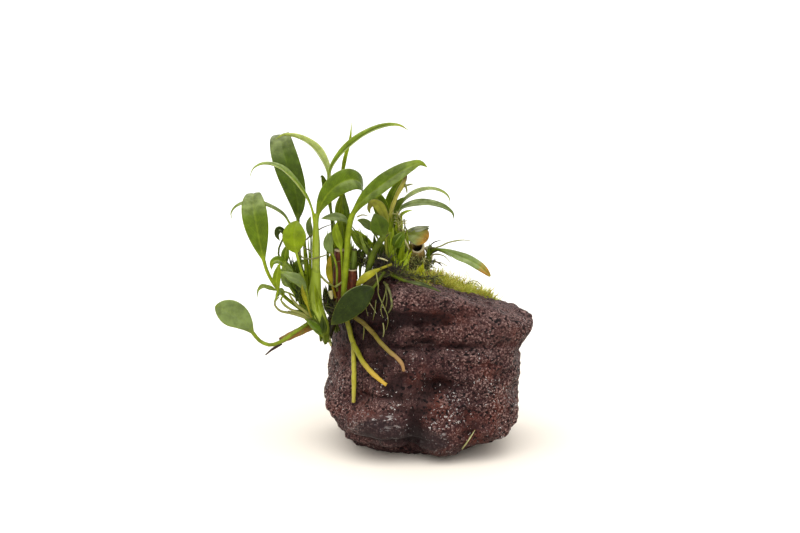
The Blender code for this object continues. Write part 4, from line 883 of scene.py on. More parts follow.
STEMS = [
    Stem("stalk_old", "stalk",
         [(-14, 75.6, -0.5), (-14, 80, -1), (-14.4, 86.4, -2), (-13.8, 92.4, -3), (-12.4, 97.6, -4),
          (-10.4, 102, -4.5), (-8.6, 105.2, -5), (-7.8, 107.6, -5), (-7.8, 109.8, -5)],
         [1.0, 0.95, 0.9, 0.85, 0.85, 0.8, 0.95, 0.5]),
    Stem("stump_tall", "stump", [(-34.6, 58, -5), (-34.6, 64.8, -4.5), (-34.4, 72.4, -4), (-34.2, 78.8, -4)],
         [1.9, 2.2, 2.2, 2.0]),
    Stem("stump_cut", "stump", [(-29.2, 62.4, -9), (-29.2, 66, -9), (-29.2, 70.6, -9)], [1.8, 1.9, 1.8]),
    Stem("stump_straw", "stump_straw", [(-2.7, 77, 8), (-3, 78.4, 7.5), (-3.2, 80.6, 7)], [2.4, 2.9, 3.0]),
    Stem("shoot_stub", "greenstub", [(-28.8, 71.6, -9), (-28.4, 75.2, -9.5), (-28.2, 78.8, -10)], [1.2, 1.3, 0.9]),
    Stem("stub_orange", "stub", [(-45.6, 47.8, -10), (-49.2, 46.2, -11), (-53.6, 44.2, -12), (-58, 42, -13)],
         [1.6, 1.6, 1.5, 1.2]),
    Stem("root_dead", "dead", [(-58.6, 40.2, -13), (-61.2, 38.6, -13), (-63.8, 36.4, -13)], [0.6, 0.5, 0.25]),
    Stem("root_yellow", "root",
         [(-31.6, 52, -9), (-30.4, 47.2, -9), (-29, 42, 0), (-27, 37.6, 0), (-23.6, 32, 0), (-19.6, 27.8, 0),
          (-15.4, 24.4, 0)], [1.1, 1.0, 1.0, 1.0, 0.95, 0.95, 0.7], on_stone=True),
    Stem("root_straight", "root_pale", [(-28.6, 36.8, 0), (-28.4, 30.4, 0), (-28.4, 23.2, 0), (-28.6, 17.6, 0)],
         [0.9, 0.95, 0.95, 0.7], on_stone=True, sink=4.5),
    Stem("root_brown", "root_brown",
         [(-28.8, 52, -9), (-24.8, 49.2, 0), (-20.8, 45.2, 0), (-17.6, 41.2, 0), (-14.4, 38, 0), (-11.2, 35.2, 0),
          (-9.2, 32.8, 0), (-8.6, 30.2, 0)], [0.9, 0.95, 0.9, 0.85, 0.85, 0.85, 0.8, 0.6], on_stone=True),
    Stem("crown_left", "crown",
         [(-39.8, 43, -10), (-41.2, 48, -10.5), (-43.4, 54, -11), (-44.2, 59.6, -10.5), (-43.8, 65.2, -10),
          (-43.6, 70.4, -9.6)], [1.2, 2.8, 3.1, 3.0, 2.3, 1.7], lumps=0.3),
    Stem("crown_right", "crown", [(-13.3, 75.2, -6.4), (-14, 77.6, -6.8), (-14, 81, -6.6), (-14, 85.6, -6)],
         [2.2, 2.8, 2.3, 1.6], lumps=0.3),
    Stem("rhizome", "rhizome",
         [(-38.8, 43.6, -6), (-37.6, 48.8, -4.5), (-34.8, 54.4, -5), (-30, 57.2, -9), (-24.4, 62.4, -12.5),
          (-19.6, 67.2, -14.5), (-15.6, 69.6, -13.5), (-11.6, 71.4, -7), (-8.4, 72.2, 0), (-4.6, 72.6, 6),
          (-1.4, 72.8, 8), (1.6, 73.6, 8.5)], [1.4, 2.0, 2.0, 2.0, 2.0, 1.9, 1.8, 2.0, 2.3, 3.0, 3.1, 2.0]),
]
# A sleeve that the two longest stalks at the left share, in the colours of the crown there.
SLEEVE = Stem("stem_sleeve", "sleeve",
              [(-43.6, 66, -9.8), (-43.6, 74, -9.8), (-43.7, 84, -9.4), (-43.6, 93, -8.8)],
              [1.9, 1.45, 1.3, 0.9], lumps=0.2)
SLEEVE_SLOT = CAD_SLOTS["crown_left"]

# Each patch of moss: its line on the stone, its half width, its share of the strands, their length (1 is
# the usual) and how light they are.
MOSS_PATCHES = [
    ([(1, 72, 16), (4, 70.8, 18), (8, 69, 20), (15, 65, 23), (24, 59.5, 25)], 3.0, 0.42, 1.5, 0.88),
    ([(-11, 73, -6), (-6, 72.6, -2), (0, 72, 2), (6, 70.5, 6)], 3.4, 0.26, 1.1, 0.62),
    ([(-4, 72, -6), (-1.5, 71.4, -5), (0.5, 71, -4)], 1.3, 0.09, 1.1, 1.0),
    ([(8, 69.5, 12), (14, 66, 18), (21, 61.5, 22), (28, 58, 24)], 2.0, 0.16, 1.2, 0.95),
    ([(20, 62.5, 24), (27, 58, 25), (34, 56, 25)], 1.2, 0.07, 0.5, 0.55),
    ([(2, 71, 2), (7, 69.5, 8), (13, 66.5, 14)], 3.0, 0.17, 0.9, 0.55),
    ([(-4, 70.5, -6), (-1, 69.5, -8), (2, 69, -8)], 1.4, 0.08, 0.8, 0.8),
]

THREADS = [
    Thread("root_thread_long", 0.24, 0.5,
           [(-19.6, 69.6, -20), (-18.8, 65.2, -22), (-18.4, 60, 0), (-16.8, 56.4, 0), (-14.8, 51.2, 0),
            (-15.6, 46.4, 0)], on_stone=True),
    Thread("root_thread_left", 0.2, 0.35, [(-19.6, 58.4, 0), (-20, 54.4, 0), (-20.8, 50.4, 0)], on_stone=True),
    Thread("root_thread_right", 0.2, 0.3, [(-16, 64.4, 0), (-15.2, 58.4, 0), (-16, 54.4, 0)], on_stone=True),
    Thread("root_thread_top", 0.35, 0.85, [(-18.8, 75.2, -16), (-16.8, 74.8, -17), (-14.8, 74, -17)]),
    Thread("root_thread_low", 0.2, 0.45, [(-24.8, 50.4, 0), (-24.4, 46.4, 0), (-24.8, 42.4, 0)], on_stone=True),
    Thread("root_thread_lowest", 0.28, 0.7, [(-16.8, 49.2, 0), (-16.4, 46.4, 0), (-16.8, 43.6, 0)], on_stone=True),
    Thread("root_blade_dark", 0.55, 0.22, [(-16.4, 65.6, 0), (-14, 61.2, 0), (-13.2, 56.8, 0), (-14.8, 53.2, 0)],
           on_stone=True),
    Thread("root_thread_bent", 0.26, 0.3, [(-14.8, 64.8, 0), (-16.4, 59.2, 0), (-17.6, 54.8, 0), (-16.8, 51.2, 0)],
           on_stone=True),
    Thread("root_thread_brow", 0.22, 0.55, [(-22, 65.2, 0), (-21.6, 60, 0), (-23.6, 56, 0), (-22.8, 52, 0)],
           on_stone=True),
    Thread("root_thread_crossing", 0.25, 0.75, [(-26, 61.6, 0), (-22.4, 57.6, 0), (-19.6, 53.2, 0)], on_stone=True),
    Thread("thin_stem_crossing", 0.3, 0.15,
           [(-48.8, 81.2, -15), (-44.8, 84.8, -7.2), (-42, 86.8, -6.8), (-36, 89, -8)]),
    Thread("thin_stem_short", 0.3, 0.2, [(-48.8, 79.4, -14), (-46.8, 78.6, -13.5), (-44.8, 77.8, -13)]),
    Thread("thin_stem_looping", 0.32, 0.3,
           [(-50.4, 78.4, -14), (-49.2, 75.6, -13), (-45.6, 74.8, -12.6), (-42, 75.6, -11.5), (-36.8, 77.6, -9.5)]),
    Thread("thin_stem_right_a", 0.4, 0.2, [(1.2, 79.2, 5.5), (3.6, 79.2, 4.5), (6, 78.4, 3)]),
    Thread("thin_stem_right_b", 0.35, 0.1, [(1.6, 76, 7), (3.6, 77.6, 5), (6, 78.4, 3)]),
    Thread("thin_stem_right_c", 0.35, 0.05, [(3.2, 74, 8), (5.2, 73.4, 7), (6.8, 72, 6)]),
    Thread("dead_thread", 0.3, 0.05, [(-8.4, 90.8, -4), (-8, 88, -4), (-7.2, 85.6, -3)]),
    Thread("twig_dark_a", 0.35, 0.05, [(-18.8, 82.4, -14), (-17.2, 84, -13.5), (-15.2, 86, -13)]),
    Thread("twig_dark_b", 0.3, 0.08, [(-17.6, 82, -13), (-16.4, 83.2, -13), (-14.4, 84.8, -12.5)]),
    Thread("tendril", 0.3, 0.62,
           [(4.4, 79.4, 4.5), (6.4, 80, 4), (8.8, 81.2, 3.5), (12, 82, 3), (15.2, 82.4, 3), (18.4, 82, 3)]),
    Thread("pale_stem_right", 0.35, 0.85, [(1.2, 75.2, 7), (3.6, 76.6, 6), (6, 76.8, 5)]),
    Thread("pale_loop", 0.3, 0.8, [(-27.2, 91.6, -7), (-25.2, 92.4, -6.5), (-22.8, 92, -6)]),
    Thread("fibre_right_a", 0.2, 0.6, [(16.4, 64.4, 22), (18.4, 66, 22), (20.8, 65.8, 22), (22.8, 64, 22)]),
    Thread("fibre_right_b", 0.2, 0.7, [(17.2, 64.8, 23), (19.6, 65.2, 23), (22, 63.6, 23)]),
    Thread("fibre_foot", 0.3, 0.75, [(14.8, -1.2, 0), (17.2, 2, 0), (20, 6.4, 0)], on_stone=True),
    Thread("stem_fork_left", 0.5, 0.5, [(-42, 68.4, -10), (-38.8, 65.2, -9.5), (-36, 63.6, -9)]),
    Thread("stem_fork_right", 0.45, 0.5, [(-36, 63.6, -9), (-33.6, 65.2, -10), (-31.2, 67.6, -10.5)]),
    Thread("petiole_outer", 0.6, 0.42,
           [(-42.8, 47.2, -11), (-48.4, 51.6, -14), (-54, 53.2, -15), (-58.4, 54.4, -15.5), (-60.2, 56.8, -15.5),
            (-58.4, 59.6, -15)]),
    Thread("petiole_inner", 0.6, 0.5, [(-42.8, 48, -12), (-48.8, 52.8, -15), (-54, 54.8, -16), (-58, 58.8, -16)]),
    Thread("petiole_middle", 0.65, 0.45,
           [(-43.2, 48.8, -12.5), (-47.6, 53.6, -15), (-51.6, 56.8, -16), (-54.8, 61.6, -16)]),
    Thread("petiole_upper", 0.55, 0.38,
           [(-43.6, 50.4, -12), (-46, 54.4, -13.5), (-48, 59.2, -14), (-49.6, 64.8, -13.5)]),
    Thread("petiole_low", 0.7, 0.48,
           [(-42.4, 46.8, -12.5), (-46.8, 50.8, -14), (-51.2, 52.8, -15), (-54.8, 54, -15)]),
    Thread("petiole_back", 0.5, 0.2, [(-45.2, 53.6, -6), (-48.8, 59.2, -7), (-52.4, 64.8, -8), (-54, 70, -8)]),
    Thread("cream_sliver", 0.45, 0.85, [(-8.4, 82.8, -6), (-7.6, 81.2, -6), (-6.4, 78.8, -5)]),
    Thread("cream_piece", 1.15, 0.9, [(0.4, 79.6, 8.5), (2, 76.8, 8.5), (2.4, 73.6, 8)]),
    Thread("arc_right_a", 0.28, 0.8, [(0, 73.6, 8), (3.2, 76.4, 7), (7.6, 76, 5), (10, 73.6, 4)]),
    Thread("arc_right_b", 0.25, 0.5, [(-0.4, 75.2, 8), (2.8, 78.4, 7), (6.8, 77.6, 6), (10.8, 75.2, 4)]),
    Thread("arc_right_c", 0.22, 0.9, [(1.2, 72, 8), (4.8, 73.6, 7), (8.8, 72, 5)]),
    Thread("arc_right_d", 0.25, 0.15, [(0.4, 77.6, 8), (3.2, 81.2, 7), (6.8, 82.4, 5)]),
    Thread("stub_pale", 1, 0.85, [(-38, 62, -9.5), (-37.2, 58.8, -9.5)]),
    Thread("root_piece_pale", 0.9, 0.8, [(-40.4, 45.2, -8), (-38.4, 42.8, -9), (-37.6, 40, -9)]),
    Thread("side_shoot", 0.4, 0.45, [(-8.6, 103.6, -4.5), (-6.8, 104.4, -4.5), (-4.8, 104.8, -4)]),
    Thread("side_shoot_low", 0.45, 0.5, [(-8, 104.8, -5.5), (-7.4, 102.8, -5.5), (-7.2, 101.2, -5.5)]),
]

# Each sheaf of slim leaves: its finish, how many, their half width, where its foot and its tips are, how
# far they spread at each, and how far they bow.
SHEAVES = [
    Sheaf("sheaf_left_stalks", "light", 4, 0.8, (-45.6, 52, -7), (-48, 85.6, -5), (1, 1.2), 0.6),
    Sheaf("sheaf_left_bulb", "dark", 6, 1.5, (-41.2, 44.8, -11), (-46.4, 59.6, -12), (1, 1.8), 0.8),
    Sheaf("sheaf_left_fold", "dark", 4, 1.4, (-43.2, 48.8, -13), (-49.6, 54.8, -14), (1, 1.4), 0.5),
    Sheaf("sheaf_left_inner", "dark", 7, 1, (-44.8, 56.4, -5), (-51.2, 73.6, -6), (1.5, 2.8), 1.5),
    Sheaf("sheaf_left_cluster", "greyed", 5, 1.7, (-51.6, 61.6, -12), (-56.8, 72.8, -13), (1.6, 2.4), 1),
    Sheaf("sheaf_crown_strips", "light", 5, 1.3, (-41.6, 46.4, -12.2), (-44, 64.4, -13), (0.9, 0.8), 0.3),
    Sheaf("sheaf_left_shade", "deep", 9, 1.5, (-36.4, 48, -2), (-39.2, 65.2, -3), (1.6, 2.2), 1),
    Sheaf("sheaf_centre_left", "light", 6, 1, (-34, 73.6, -1), (-35.2, 89.6, -3), (1.2, 2), 0.8),
    Sheaf("sheaf_centre_tall", "bright", 4, 0.9, (-32.4, 73.6, -1), (-33.6, 97.2, -1), (1, 1.4), 0.8),
    Sheaf("sheaf_centre_column", "mid", 5, 1.1, (-30.4, 62.4, -6), (-29.2, 82.4, -6), (0.8, 1.2), 0.5),
    Sheaf("sheaf_centre_dark", "deep", 8, 0.9, (-27.2, 69.6, -6), (-23.2, 82.4, -4), (1.8, 2.8), 1.6),
    Sheaf("sheaf_centre_strips", "greyed", 8, 0.8, (-19.6, 72.8, -8), (-27.2, 84.8, -7), (1.8, 3.2), 1.8),
    Sheaf("sheaf_under_round", "deep", 8, 1.3, (-18.8, 71.2, -9), (-18.4, 82.4, -8), (1.6, 2.6), 1.4),
    Sheaf("sheaf_right_splayed", "bright", 7, 1.3, (-13.2, 72, -9), (-13.6, 83.2, -9.5), (1.6, 2.8), 0.8),
    Sheaf("sheaf_right_stems", "light", 6, 0.9, (-13.6, 78.4, -5), (-13.6, 92.8, -5), (1, 1.4), 0.5),
    Sheaf("sheaf_right_back", "bright", 6, 0.9, (-9.6, 73.6, 1), (-8.8, 88, 2), (1.6, 2), 0.8),
    Sheaf("sheaf_new_growth", "fresh", 8, 0.8, (-11.2, 80, -5), (-10.4, 92, -6), (0.8, 1.4), 0.5),
    Sheaf("sheaf_knot", "dark", 5, 1.7, (-10.8, 75.2, -7), (-10.4, 84, -9), (1.2, 2), 1),
    Sheaf("sheaf_right_skirt", "bright", 6, 1.3, (-12.4, 70.4, -9), (-9.2, 78.4, -11), (2.2, 3.6), 1.2),
    Sheaf("sheaf_dying_foot", "orange", 4, 1, (-6.4, 73.6, 4), (-6.4, 82.4, 3), (1, 1), 0.6),
    Sheaf("sheaf_right_foot", "tipped", 5, 0.7, (0.4, 72.8, 7), (2.8, 79.2, 6), (1.2, 1.6), 1),
    Sheaf("sheaf_moss_edge", "fresh", 6, 0.7, (-9.2, 71.2, -8), (-7.6, 77.2, -8), (2.4, 2.4), 1),
    Sheaf("sheaf_left_dark", "dark", 5, 1.2, (-48.8, 56, -7), (-54.4, 73.6, -8), (1.6, 3), 1.4),
    Sheaf("sheaf_centre_fill", "mid", 5, 0.9, (-36.8, 61.6, -2), (-37.6, 84, -2), (1.4, 2.6), 1.2),
    Sheaf("sheaf_left_leaves", "dark", 4, 1.8, (-49.2, 59.6, -11), (-55.6, 71.2, -12), (1.4, 3), 1.2),
    Sheaf("sheaf_left_hanging", "deep", 3, 1.5, (-51.2, 65.6, -14), (-51.2, 59.6, -15), (1, 1.6), 0.8),
    Sheaf("knot_leaf", "dark", 2, 2.3, (-12.4, 77.6, -10.5), (-8, 84.8, -11), (0.3, 0.8), 0.4),
    Sheaf("moss_tuft", "lemon", 8, 0.45, (-2, 69.2, -10), (-1.6, 71.6, -10.5), (1.2, 1.4), 0.4),
    Sheaf("bulb_fold", "dark", 2, 2.3, (-39.2, 43.2, -15), (-47.6, 52, -15.5), (0.4, 0.8), 0.4),
    Sheaf("bulb_shade", "deep", 2, 1.3, (-40, 43.2, -15.5), (-41.2, 52, -15), (0.4, 0.8), 0.3),
    Sheaf("dying_fold", "ashen", 2, 1.5, (-7.6, 86, 4.2), (2, 87.6, 3), (0.3, 0.4), 0.3),
]

# Each tangle of fine fibres: its line, its half width, the number of its fibres, their length, how light
# they are and how much that varies.
TANGLES = [
    ([(-18.8, 73.6, -13), (-14.8, 71.2, -14), (-10.8, 69.2, -13)], 2.2, 330, 3.4, 0.03, 0.1),
    ([(-28.4, 75.2, -4), (-24.4, 73.6, -6), (-19.6, 72.8, -8)], 2, 170, 4.4, 0.26, 0.2),
    ([(-11.6, 73.6, -5), (-6, 72.8, 1), (2.8, 72.8, 6)], 1.8, 460, 2.6, 0.58, 0.34),
    ([(-14.8, 68.8, -16), (-6, 68, -14), (6, 66, -8)], 1.2, 240, 2.2, 0.28, 0.22),
    ([(-39.6, 59.2, -5), (-36.4, 56, -6), (-34, 51.2, -8)], 1.8, 200, 3.2, 0.16, 0.14),
    ([(-10.4, 80.8, -2), (-8.8, 78.4, 0), (-8.4, 75.2, 0)], 1.4, 150, 2.8, 0.45, 0.28),
    ([(-11.2, 93.2, -5), (-10, 89.6, -6), (-9.6, 85.2, -6)], 1.3, 130, 1.7, 0.85, 0.25),
]

STEM_ROOM = 0.72          # left between a stem's middle line and the stone, beside its radius, mm
STEM_SEED = 40
HOLLOW_STUMP = "stump_straw"
HOLLOW_WALL = 0.72        # radius of the hollow, as a share of the stump's
HOLLOW_SLANT = 2.2        # how far the rim comes down towards the viewer, mm
THREAD_ROOM = 0.3
THREAD_TAPER = np.array([1.0, 1.0, 0.9, 0.4])
THREAD_RINGS = 6          # for each point of the route
THREAD_LUMPS = 0.15
THREAD_SEED = 7
THREAD_COLOURS = paint(52, 44, 28), paint(134, 138, 62), paint(206, 200, 150)
STRAND_SIDES = 4
MOSS_STATIONS = 5
MOSS_SPREAD = np.array([0.5, 1.0, 0.2])
MOSS_SINK = 0.2           # how far a strand's foot goes into the stone, mm
MOSS_DROOP = np.array([0, 0, -0.05])
MOSS_PATCHINESS = 2.5     # size of the lighter and darker patches, mm
TANGLE_STATIONS = 6
TANGLE_RISE = np.array([0.0, -0.2, 0.35])
TANGLE_SEED = 60
TANGLE_COLOURS = paint(42, 30, 26), paint(110, 116, 36), paint(212, 208, 132)
FIBRE_SLOT = "root"
FIBRE_FLOOR = 1.0         # lowest that a fibre may reach above the foot, mm
SHEAF_RINGS = (6, 16)     # along the stalk and the blade
SHEAF_SIDES = 12
SHEAF_SLOT = CAD_SLOTS["leaf_centre_low"]


def stem_surface(stem, settings, seed):
    """A tube along the stem's route, torn open at its top if it is the hollow stump."""
    shares = np.linspace(0.0, 1.0, len(stem.route))
    rooms = np.interp(shares, np.linspace(0.0, 1.0, len(stem.radii)), stem.radii) + STEM_ROOM
    points = sunk_foot(laid_points(stem.route, stem.on_stone, rooms), stem.sink)
    lumps = settings.unevenness * stem.lumps
    tube = tube_surface(points, stem.radii, settings.stem_sides, settings.stem_rings, lumps, seed)
    if stem.name == HOLLOW_STUMP:
        tube = hollowed(*tube, settings.hollow_depth)
    return closed_skin(*tube)


def hollowed(skin, start, _, marks, depth):
    """The tube torn open at its top: the rim slants towards the viewer and an inner wall runs down.

    The rings are lowered by slant * (offset towards the viewer / radius) * share^2.
    """
    middles = skin.mean(axis=1, keepdims=True)
    offsets = skin - middles
    widths = np.linalg.norm(offsets, axis=2, keepdims=True)
    shares = np.linspace(0.0, 1.0, len(skin))[:, None]
    drop = HOLLOW_SLANT * (-offsets[..., 1] / widths[..., 0]) * shares ** 2
    outer = skin.copy()
    outer[..., 2] -= drop
    inner = (middles + HOLLOW_WALL * offsets)[::-1][:int(depth * len(skin))]
    inner[..., 2] -= (drop * 0.96)[::-1][:len(inner)]
    grown = {mark: np.concatenate([values, values[::-1][:len(inner)]]) for mark, values in marks.items()}
    # Painted shade inside the hollow: darker further down the inner wall.
    hollow_shade = np.linspace(0.15, 1.0, len(inner))[:, None] * np.ones((1, skin.shape[1]))
    grown["hollow"] = np.concatenate([np.zeros(skin.shape[:2]), hollow_shade])
    return np.concatenate([outer, inner]), start, inner[-1].mean(axis=0), grown


def thread_surface(thread, settings):
    """A thin tube that tapers to its tip, all in one tone."""
    points = laid_points(thread.route, thread.on_stone, [thread.radius + THREAD_ROOM] * len(thread.route))
    skin, start, end, _ = tube_surface(points, thread.radius * THREAD_TAPER, settings.thread_sides,
                                       THREAD_RINGS * len(points), THREAD_LUMPS, THREAD_SEED)
    return closed_skin(skin, start, end, {"tone": np.full(skin.shape[:2], thread.tone)})


def strands(bases, ways, leans, lengths, radii, tones, stations, thinning, foot_tone, swing=0.0, phases=0.0):
    """Strands that bend over as base + length * (s * way + s^2 * lean + swing * sin(7 s + phase) * lean).

    s runs from 0 at the foot to 1. A strand thins by `thinning`, and lightens from `foot_tone` of its tone.
    """
    s = np.linspace(0.0, 1.0, stations)[None, :, None]
    leans = leans[:, None]
    bend = s * ways[:, None] + s ** 2 * leans + swing * np.sin(7.0 * s + phases) * leans
    points = bases[:, None] + lengths[:, None, None] * bend
    skin, faces = strand_skins(points, radii[:, None] * (1.0 - thinning * s[..., 0]), STRAND_SIDES)
    tone = np.clip(tones, 0, 1)[:, None] * (foot_tone + (1.0 - foot_tone) * s[..., 0])
    return skin, faces, {"tone": np.repeat(tone.reshape(-1), STRAND_SIDES)}


def moss_surface(settings):
    """Every patch's strands, each on the stone near the patch's line and leaning out from the stone."""
    random = np.random.default_rng(settings.seed)
    parts = []
    for line, half_width, portion, reach, light in MOSS_PATCHES:
        dense, run, _ = smooth_route(seen_points(line))
        amount = int(settings.strands * portion)
        middles = places_along(dense, run, random.uniform(0, 1, amount) * run[-1])
        middles += random.normal(0, 0.5, (amount, 3)) * half_width * MOSS_SPREAD
        ways = unit(middles - STONE_HEART)
        bases = STONE_HEART + ways * (stone_reach(ways) - MOSS_SINK)[:, None]
        ways = unit(ways + random.normal(0, 0.45, (amount, 3)))
        leans = random.normal(0, 0.45, (amount, 3)) + MOSS_DROOP
        lengths = settings.length / MM * reach * random.uniform(0.45, 1.15, amount)
        radii = 0.5 * settings.width / MM * random.uniform(0.6, 1.3, amount)
        patchy = 0.35 * lattice_noise(bases / MOSS_PATCHINESS, settings.seed)
        tones = random.normal(light, 0.22, amount) + patchy
        parts.append(strands(bases, ways, leans, lengths, radii, tones, MOSS_STATIONS, 0.8, 0.5))
    return joined(parts)


def tangle_surface(line, half_width, amount, length, light, variety, seed):
    """Bent fibres all round the line, which reach out every way but a little more up and forward."""
    random = np.random.default_rng(seed)
    dense, run, _ = smooth_route(seen_points(line))
    middles = places_along(dense, run, random.uniform(0, 1, amount) * run[-1])
    bases = middles + random.normal(0, 0.42, (amount, 3)) * half_width
    ways = unit(random.normal(0, 0.8, (amount, 3)) + TANGLE_RISE)
    leans = random.normal(0, 0.55, (amount, 3))
    lengths = length * random.uniform(0.4, 1.2, amount)
    phases = random.uniform(0, 6, (amount, 1, 1))
    radii = random.uniform(0.10, 0.26, amount)
    tones = random.normal(light, variety, amount)
    surface = strands(bases, ways, leans, lengths, radii, tones, TANGLE_STATIONS, 0.6, 0.7, 0.12, phases)
    if surface[0][:, 2].min() < FIBRE_FLOOR:
        raise RuntimeError("a fibre reaches below the stone's foot")
    return surface


def sheaf_leaves(sheaf, seed):
    """Leaves whose routes run straight from foot to tip plus bow * sin(pi * share) to one side."""
    random = np.random.default_rng(seed)
    shares = np.linspace(0.0, 1.0, 6)[:, None]
    for _ in range(sheaf.count):
        foot = np.array(sheaf.foot) + sheaf.spread[0] * random.uniform(-1, 1, 3) * (1.0, 0.6, 1.0)
        tip = np.array(sheaf.tip) + sheaf.spread[1] * random.uniform(-1, 1, 3) * (1.0, 1.6, 1.0)
        side = sheaf.bow * random.uniform(-1, 1, 3) * (1.0, 0.0, 1.0)
        points = foot + shares * (tip - foot) + np.sin(math.pi * shares) * side
        size = random.uniform(0.7, 1.2)
        yield Leaf(sheaf.name, sheaf.finish, sheaf.half_width * size, points[:2].tolist(), points[2:].tolist(),
                   roll=random.uniform(-60, 60), fold=random.uniform(0.1, 0.5), widest=0.35,
                   stalk_radius=0.45 * size, phase=random.uniform(0, 1), tone=random.uniform(-0.22, 0.16))


# --- Finishes --------------------------------------------------------------------------------------------

# Each leaf finish, in colours of the 0-255 chart: upper side, under side, line along the middle, edge, stalk
# and tip; then where the tip's colour starts (share of the blade) and how much of it there is.
LEAF_FINISHES = {
    "mid": ((96, 120, 18), (140, 158, 36), (150, 170, 44), (140, 162, 34), (146, 164, 34), (110, 112, 30), 0.85, 0.4),
    "dark": ((76, 98, 16), (112, 132, 30), (104, 128, 30), (110, 130, 36), (96, 112, 28), (104, 112, 60), 0.85, 0.5),
    "deep": ((42, 55, 12), (46, 60, 12), (54, 72, 16), (112, 128, 52), (92, 106, 22), (50, 50, 16), 0.85, 0.3),
    "pale": ((124, 144, 36), (184, 200, 116), (130, 148, 50), (212, 220, 146), (158, 174, 60), (170, 178, 90), 0.8,
             0.3),
    "fresh": ((146, 170, 20), (168, 184, 44), (180, 194, 60), (172, 188, 50), (158, 176, 36), (176, 182, 40), 0.8,
              0.3),
    "bright": ((124, 144, 18), (148, 168, 40), (160, 180, 50), (150, 174, 44), (144, 164, 34), (130, 150, 24), 0.8,
               0.3),
    "light": ((124, 146, 14), (148, 164, 40), (150, 168, 44), (160, 174, 44), (140, 158, 34), (112, 118, 24), 0.8,
              0.3),
    # Grey-green, partly the leaf's own colour and partly a painted sheen of the bright room on the blade.
    "grey": ((140, 154, 86), (160, 170, 96), (160, 174, 90), (160, 170, 90), (146, 162, 44), (150, 134, 110), 0.8,
             0.5),
    # Grey-green, partly the leaves' own colour and partly a painted sheen of the bright room on the blades.
    "greyed": ((120, 138, 76), (140, 158, 76), (132, 150, 76), (130, 150, 60), (136, 154, 40), (96, 106, 50), 0.8,
               0.3),
    "yellow": ((142, 144, 12), (164, 162, 40), (166, 166, 50), (160, 152, 30), (150, 146, 36), (120, 104, 30), 0.75,
               0.6),
    # The whitish edge is partly the dying leaf's own colour and partly a painted sheen on its curled edge.
    "dying": ((132, 144, 62), (164, 164, 80), (150, 158, 80), (204, 206, 184), (134, 140, 50), (172, 124, 36), 0.62,
              1.0),
    "tipped": ((92, 118, 24), (140, 158, 44), (134, 158, 50), (130, 154, 44), (110, 128, 34), (196, 136, 56), 0.66,
               1.0),
    "orange": ((160, 156, 26), (170, 160, 50), (176, 166, 50), (176, 122, 34), (150, 130, 30), (170, 110, 30), 0.5,
               0.7),
    "curled": ((146, 150, 48), (150, 152, 62), (136, 140, 50), (88, 58, 30), (140, 146, 50), (66, 42, 22), 0.6, 0.95),
    "reaching": ((120, 142, 34), (156, 168, 70), (58, 72, 16), (170, 180, 90), (140, 160, 44), (168, 66, 58), 0.8,
                 1.0),
    "lemon": ((206, 208, 34), (206, 208, 50), (216, 216, 70), (220, 222, 80), (168, 172, 30), (222, 222, 90), 0.6,
              0.5),
    # Whitish fold of the dying leaf: partly its own pale colour, partly a painted sheen on its curled top.
    "ashen": ((186, 192, 164), (190, 194, 168), (170, 178, 140), (206, 208, 190), (150, 158, 100), (200, 200, 176),
              0.8, 0.6),
}

# How wide the lines along the middle and the edge are, mm: plain, and on narrow leaves that look striped.
PLAIN_LINES, STRIPED_LINES = 0.5, 0.95
STRIPED_FINISHES = ("pale", "reaching")
VEIN_SPACING = 1.4        # of the side veins, along the blade, mm
VEIN_SLANT = 1.5          # how far they run on towards the tip for each mm outwards
# Painted shade deep in the hollow stump.
HOLLOW_SHADE_COLOUR = paint(24, 14, 8)
WHITE = (1.0, 1.0, 1.0)
ROOM_COLOUR = (1.0, 0.99, 0.97)
FLOOR_DROP = 0.0001       # below the stone's foot, m

# Each stem finish, in the same chart: ground, stripes and blotches, how strong the stripes and the blotches
# are, the colour of the tip, and the shares of the length from where to where it comes in.
STEM_FINISHES = {
    "stalk": ((176, 172, 66), (200, 190, 112), (112, 84, 48), 0.5, 0.25, (74, 50, 46), 0.84, 0.98),
    "stump": ((96, 44, 28), (146, 84, 50), (42, 24, 18), 0.6, 0.5, (206, 188, 148), 0.965, 0.975),
    "stump_straw": ((150, 122, 66), (206, 188, 112), (92, 60, 34), 0.6, 0.4, (226, 214, 172), 0.75, 0.98),
    "greenstub": ((84, 104, 30), (128, 142, 54), (52, 60, 22), 0.5, 0.4, (60, 62, 26), 0.9, 0.98),
    "stub": ((152, 118, 46), (128, 76, 34), (104, 122, 36), 0.7, 0.6, (96, 62, 34), 0.85, 1.0),
    "dead": ((58, 40, 34), (84, 60, 48), (34, 22, 20), 0.4, 0.5, (40, 28, 24), 0.8, 1.0),
    "root": ((140, 140, 34), (176, 172, 56), (104, 100, 30), 0.4, 0.4, (200, 164, 62), 0.5, 0.95),
    "root_pale": ((174, 168, 50), (194, 186, 80), (128, 116, 44), 0.4, 0.4, (182, 172, 74), 0.6, 1.0),
    "root_brown": ((122, 112, 40), (140, 108, 60), (92, 70, 36), 0.4, 0.5, (172, 134, 88), 0.6, 1.0),
    "crown": ((130, 146, 42), (176, 194, 78), (70, 84, 20), 0.85, 0.35, (144, 162, 48), 0.45, 1.0),
    "sleeve": ((146, 164, 46), (180, 194, 84), (96, 118, 26), 0.7, 0.3, (140, 160, 44), 0.6, 1.0),
    "rhizome": ((58, 50, 24), (90, 82, 38), (28, 22, 16), 0.5, 0.7, (90, 66, 38), 0.85, 1.0),
}


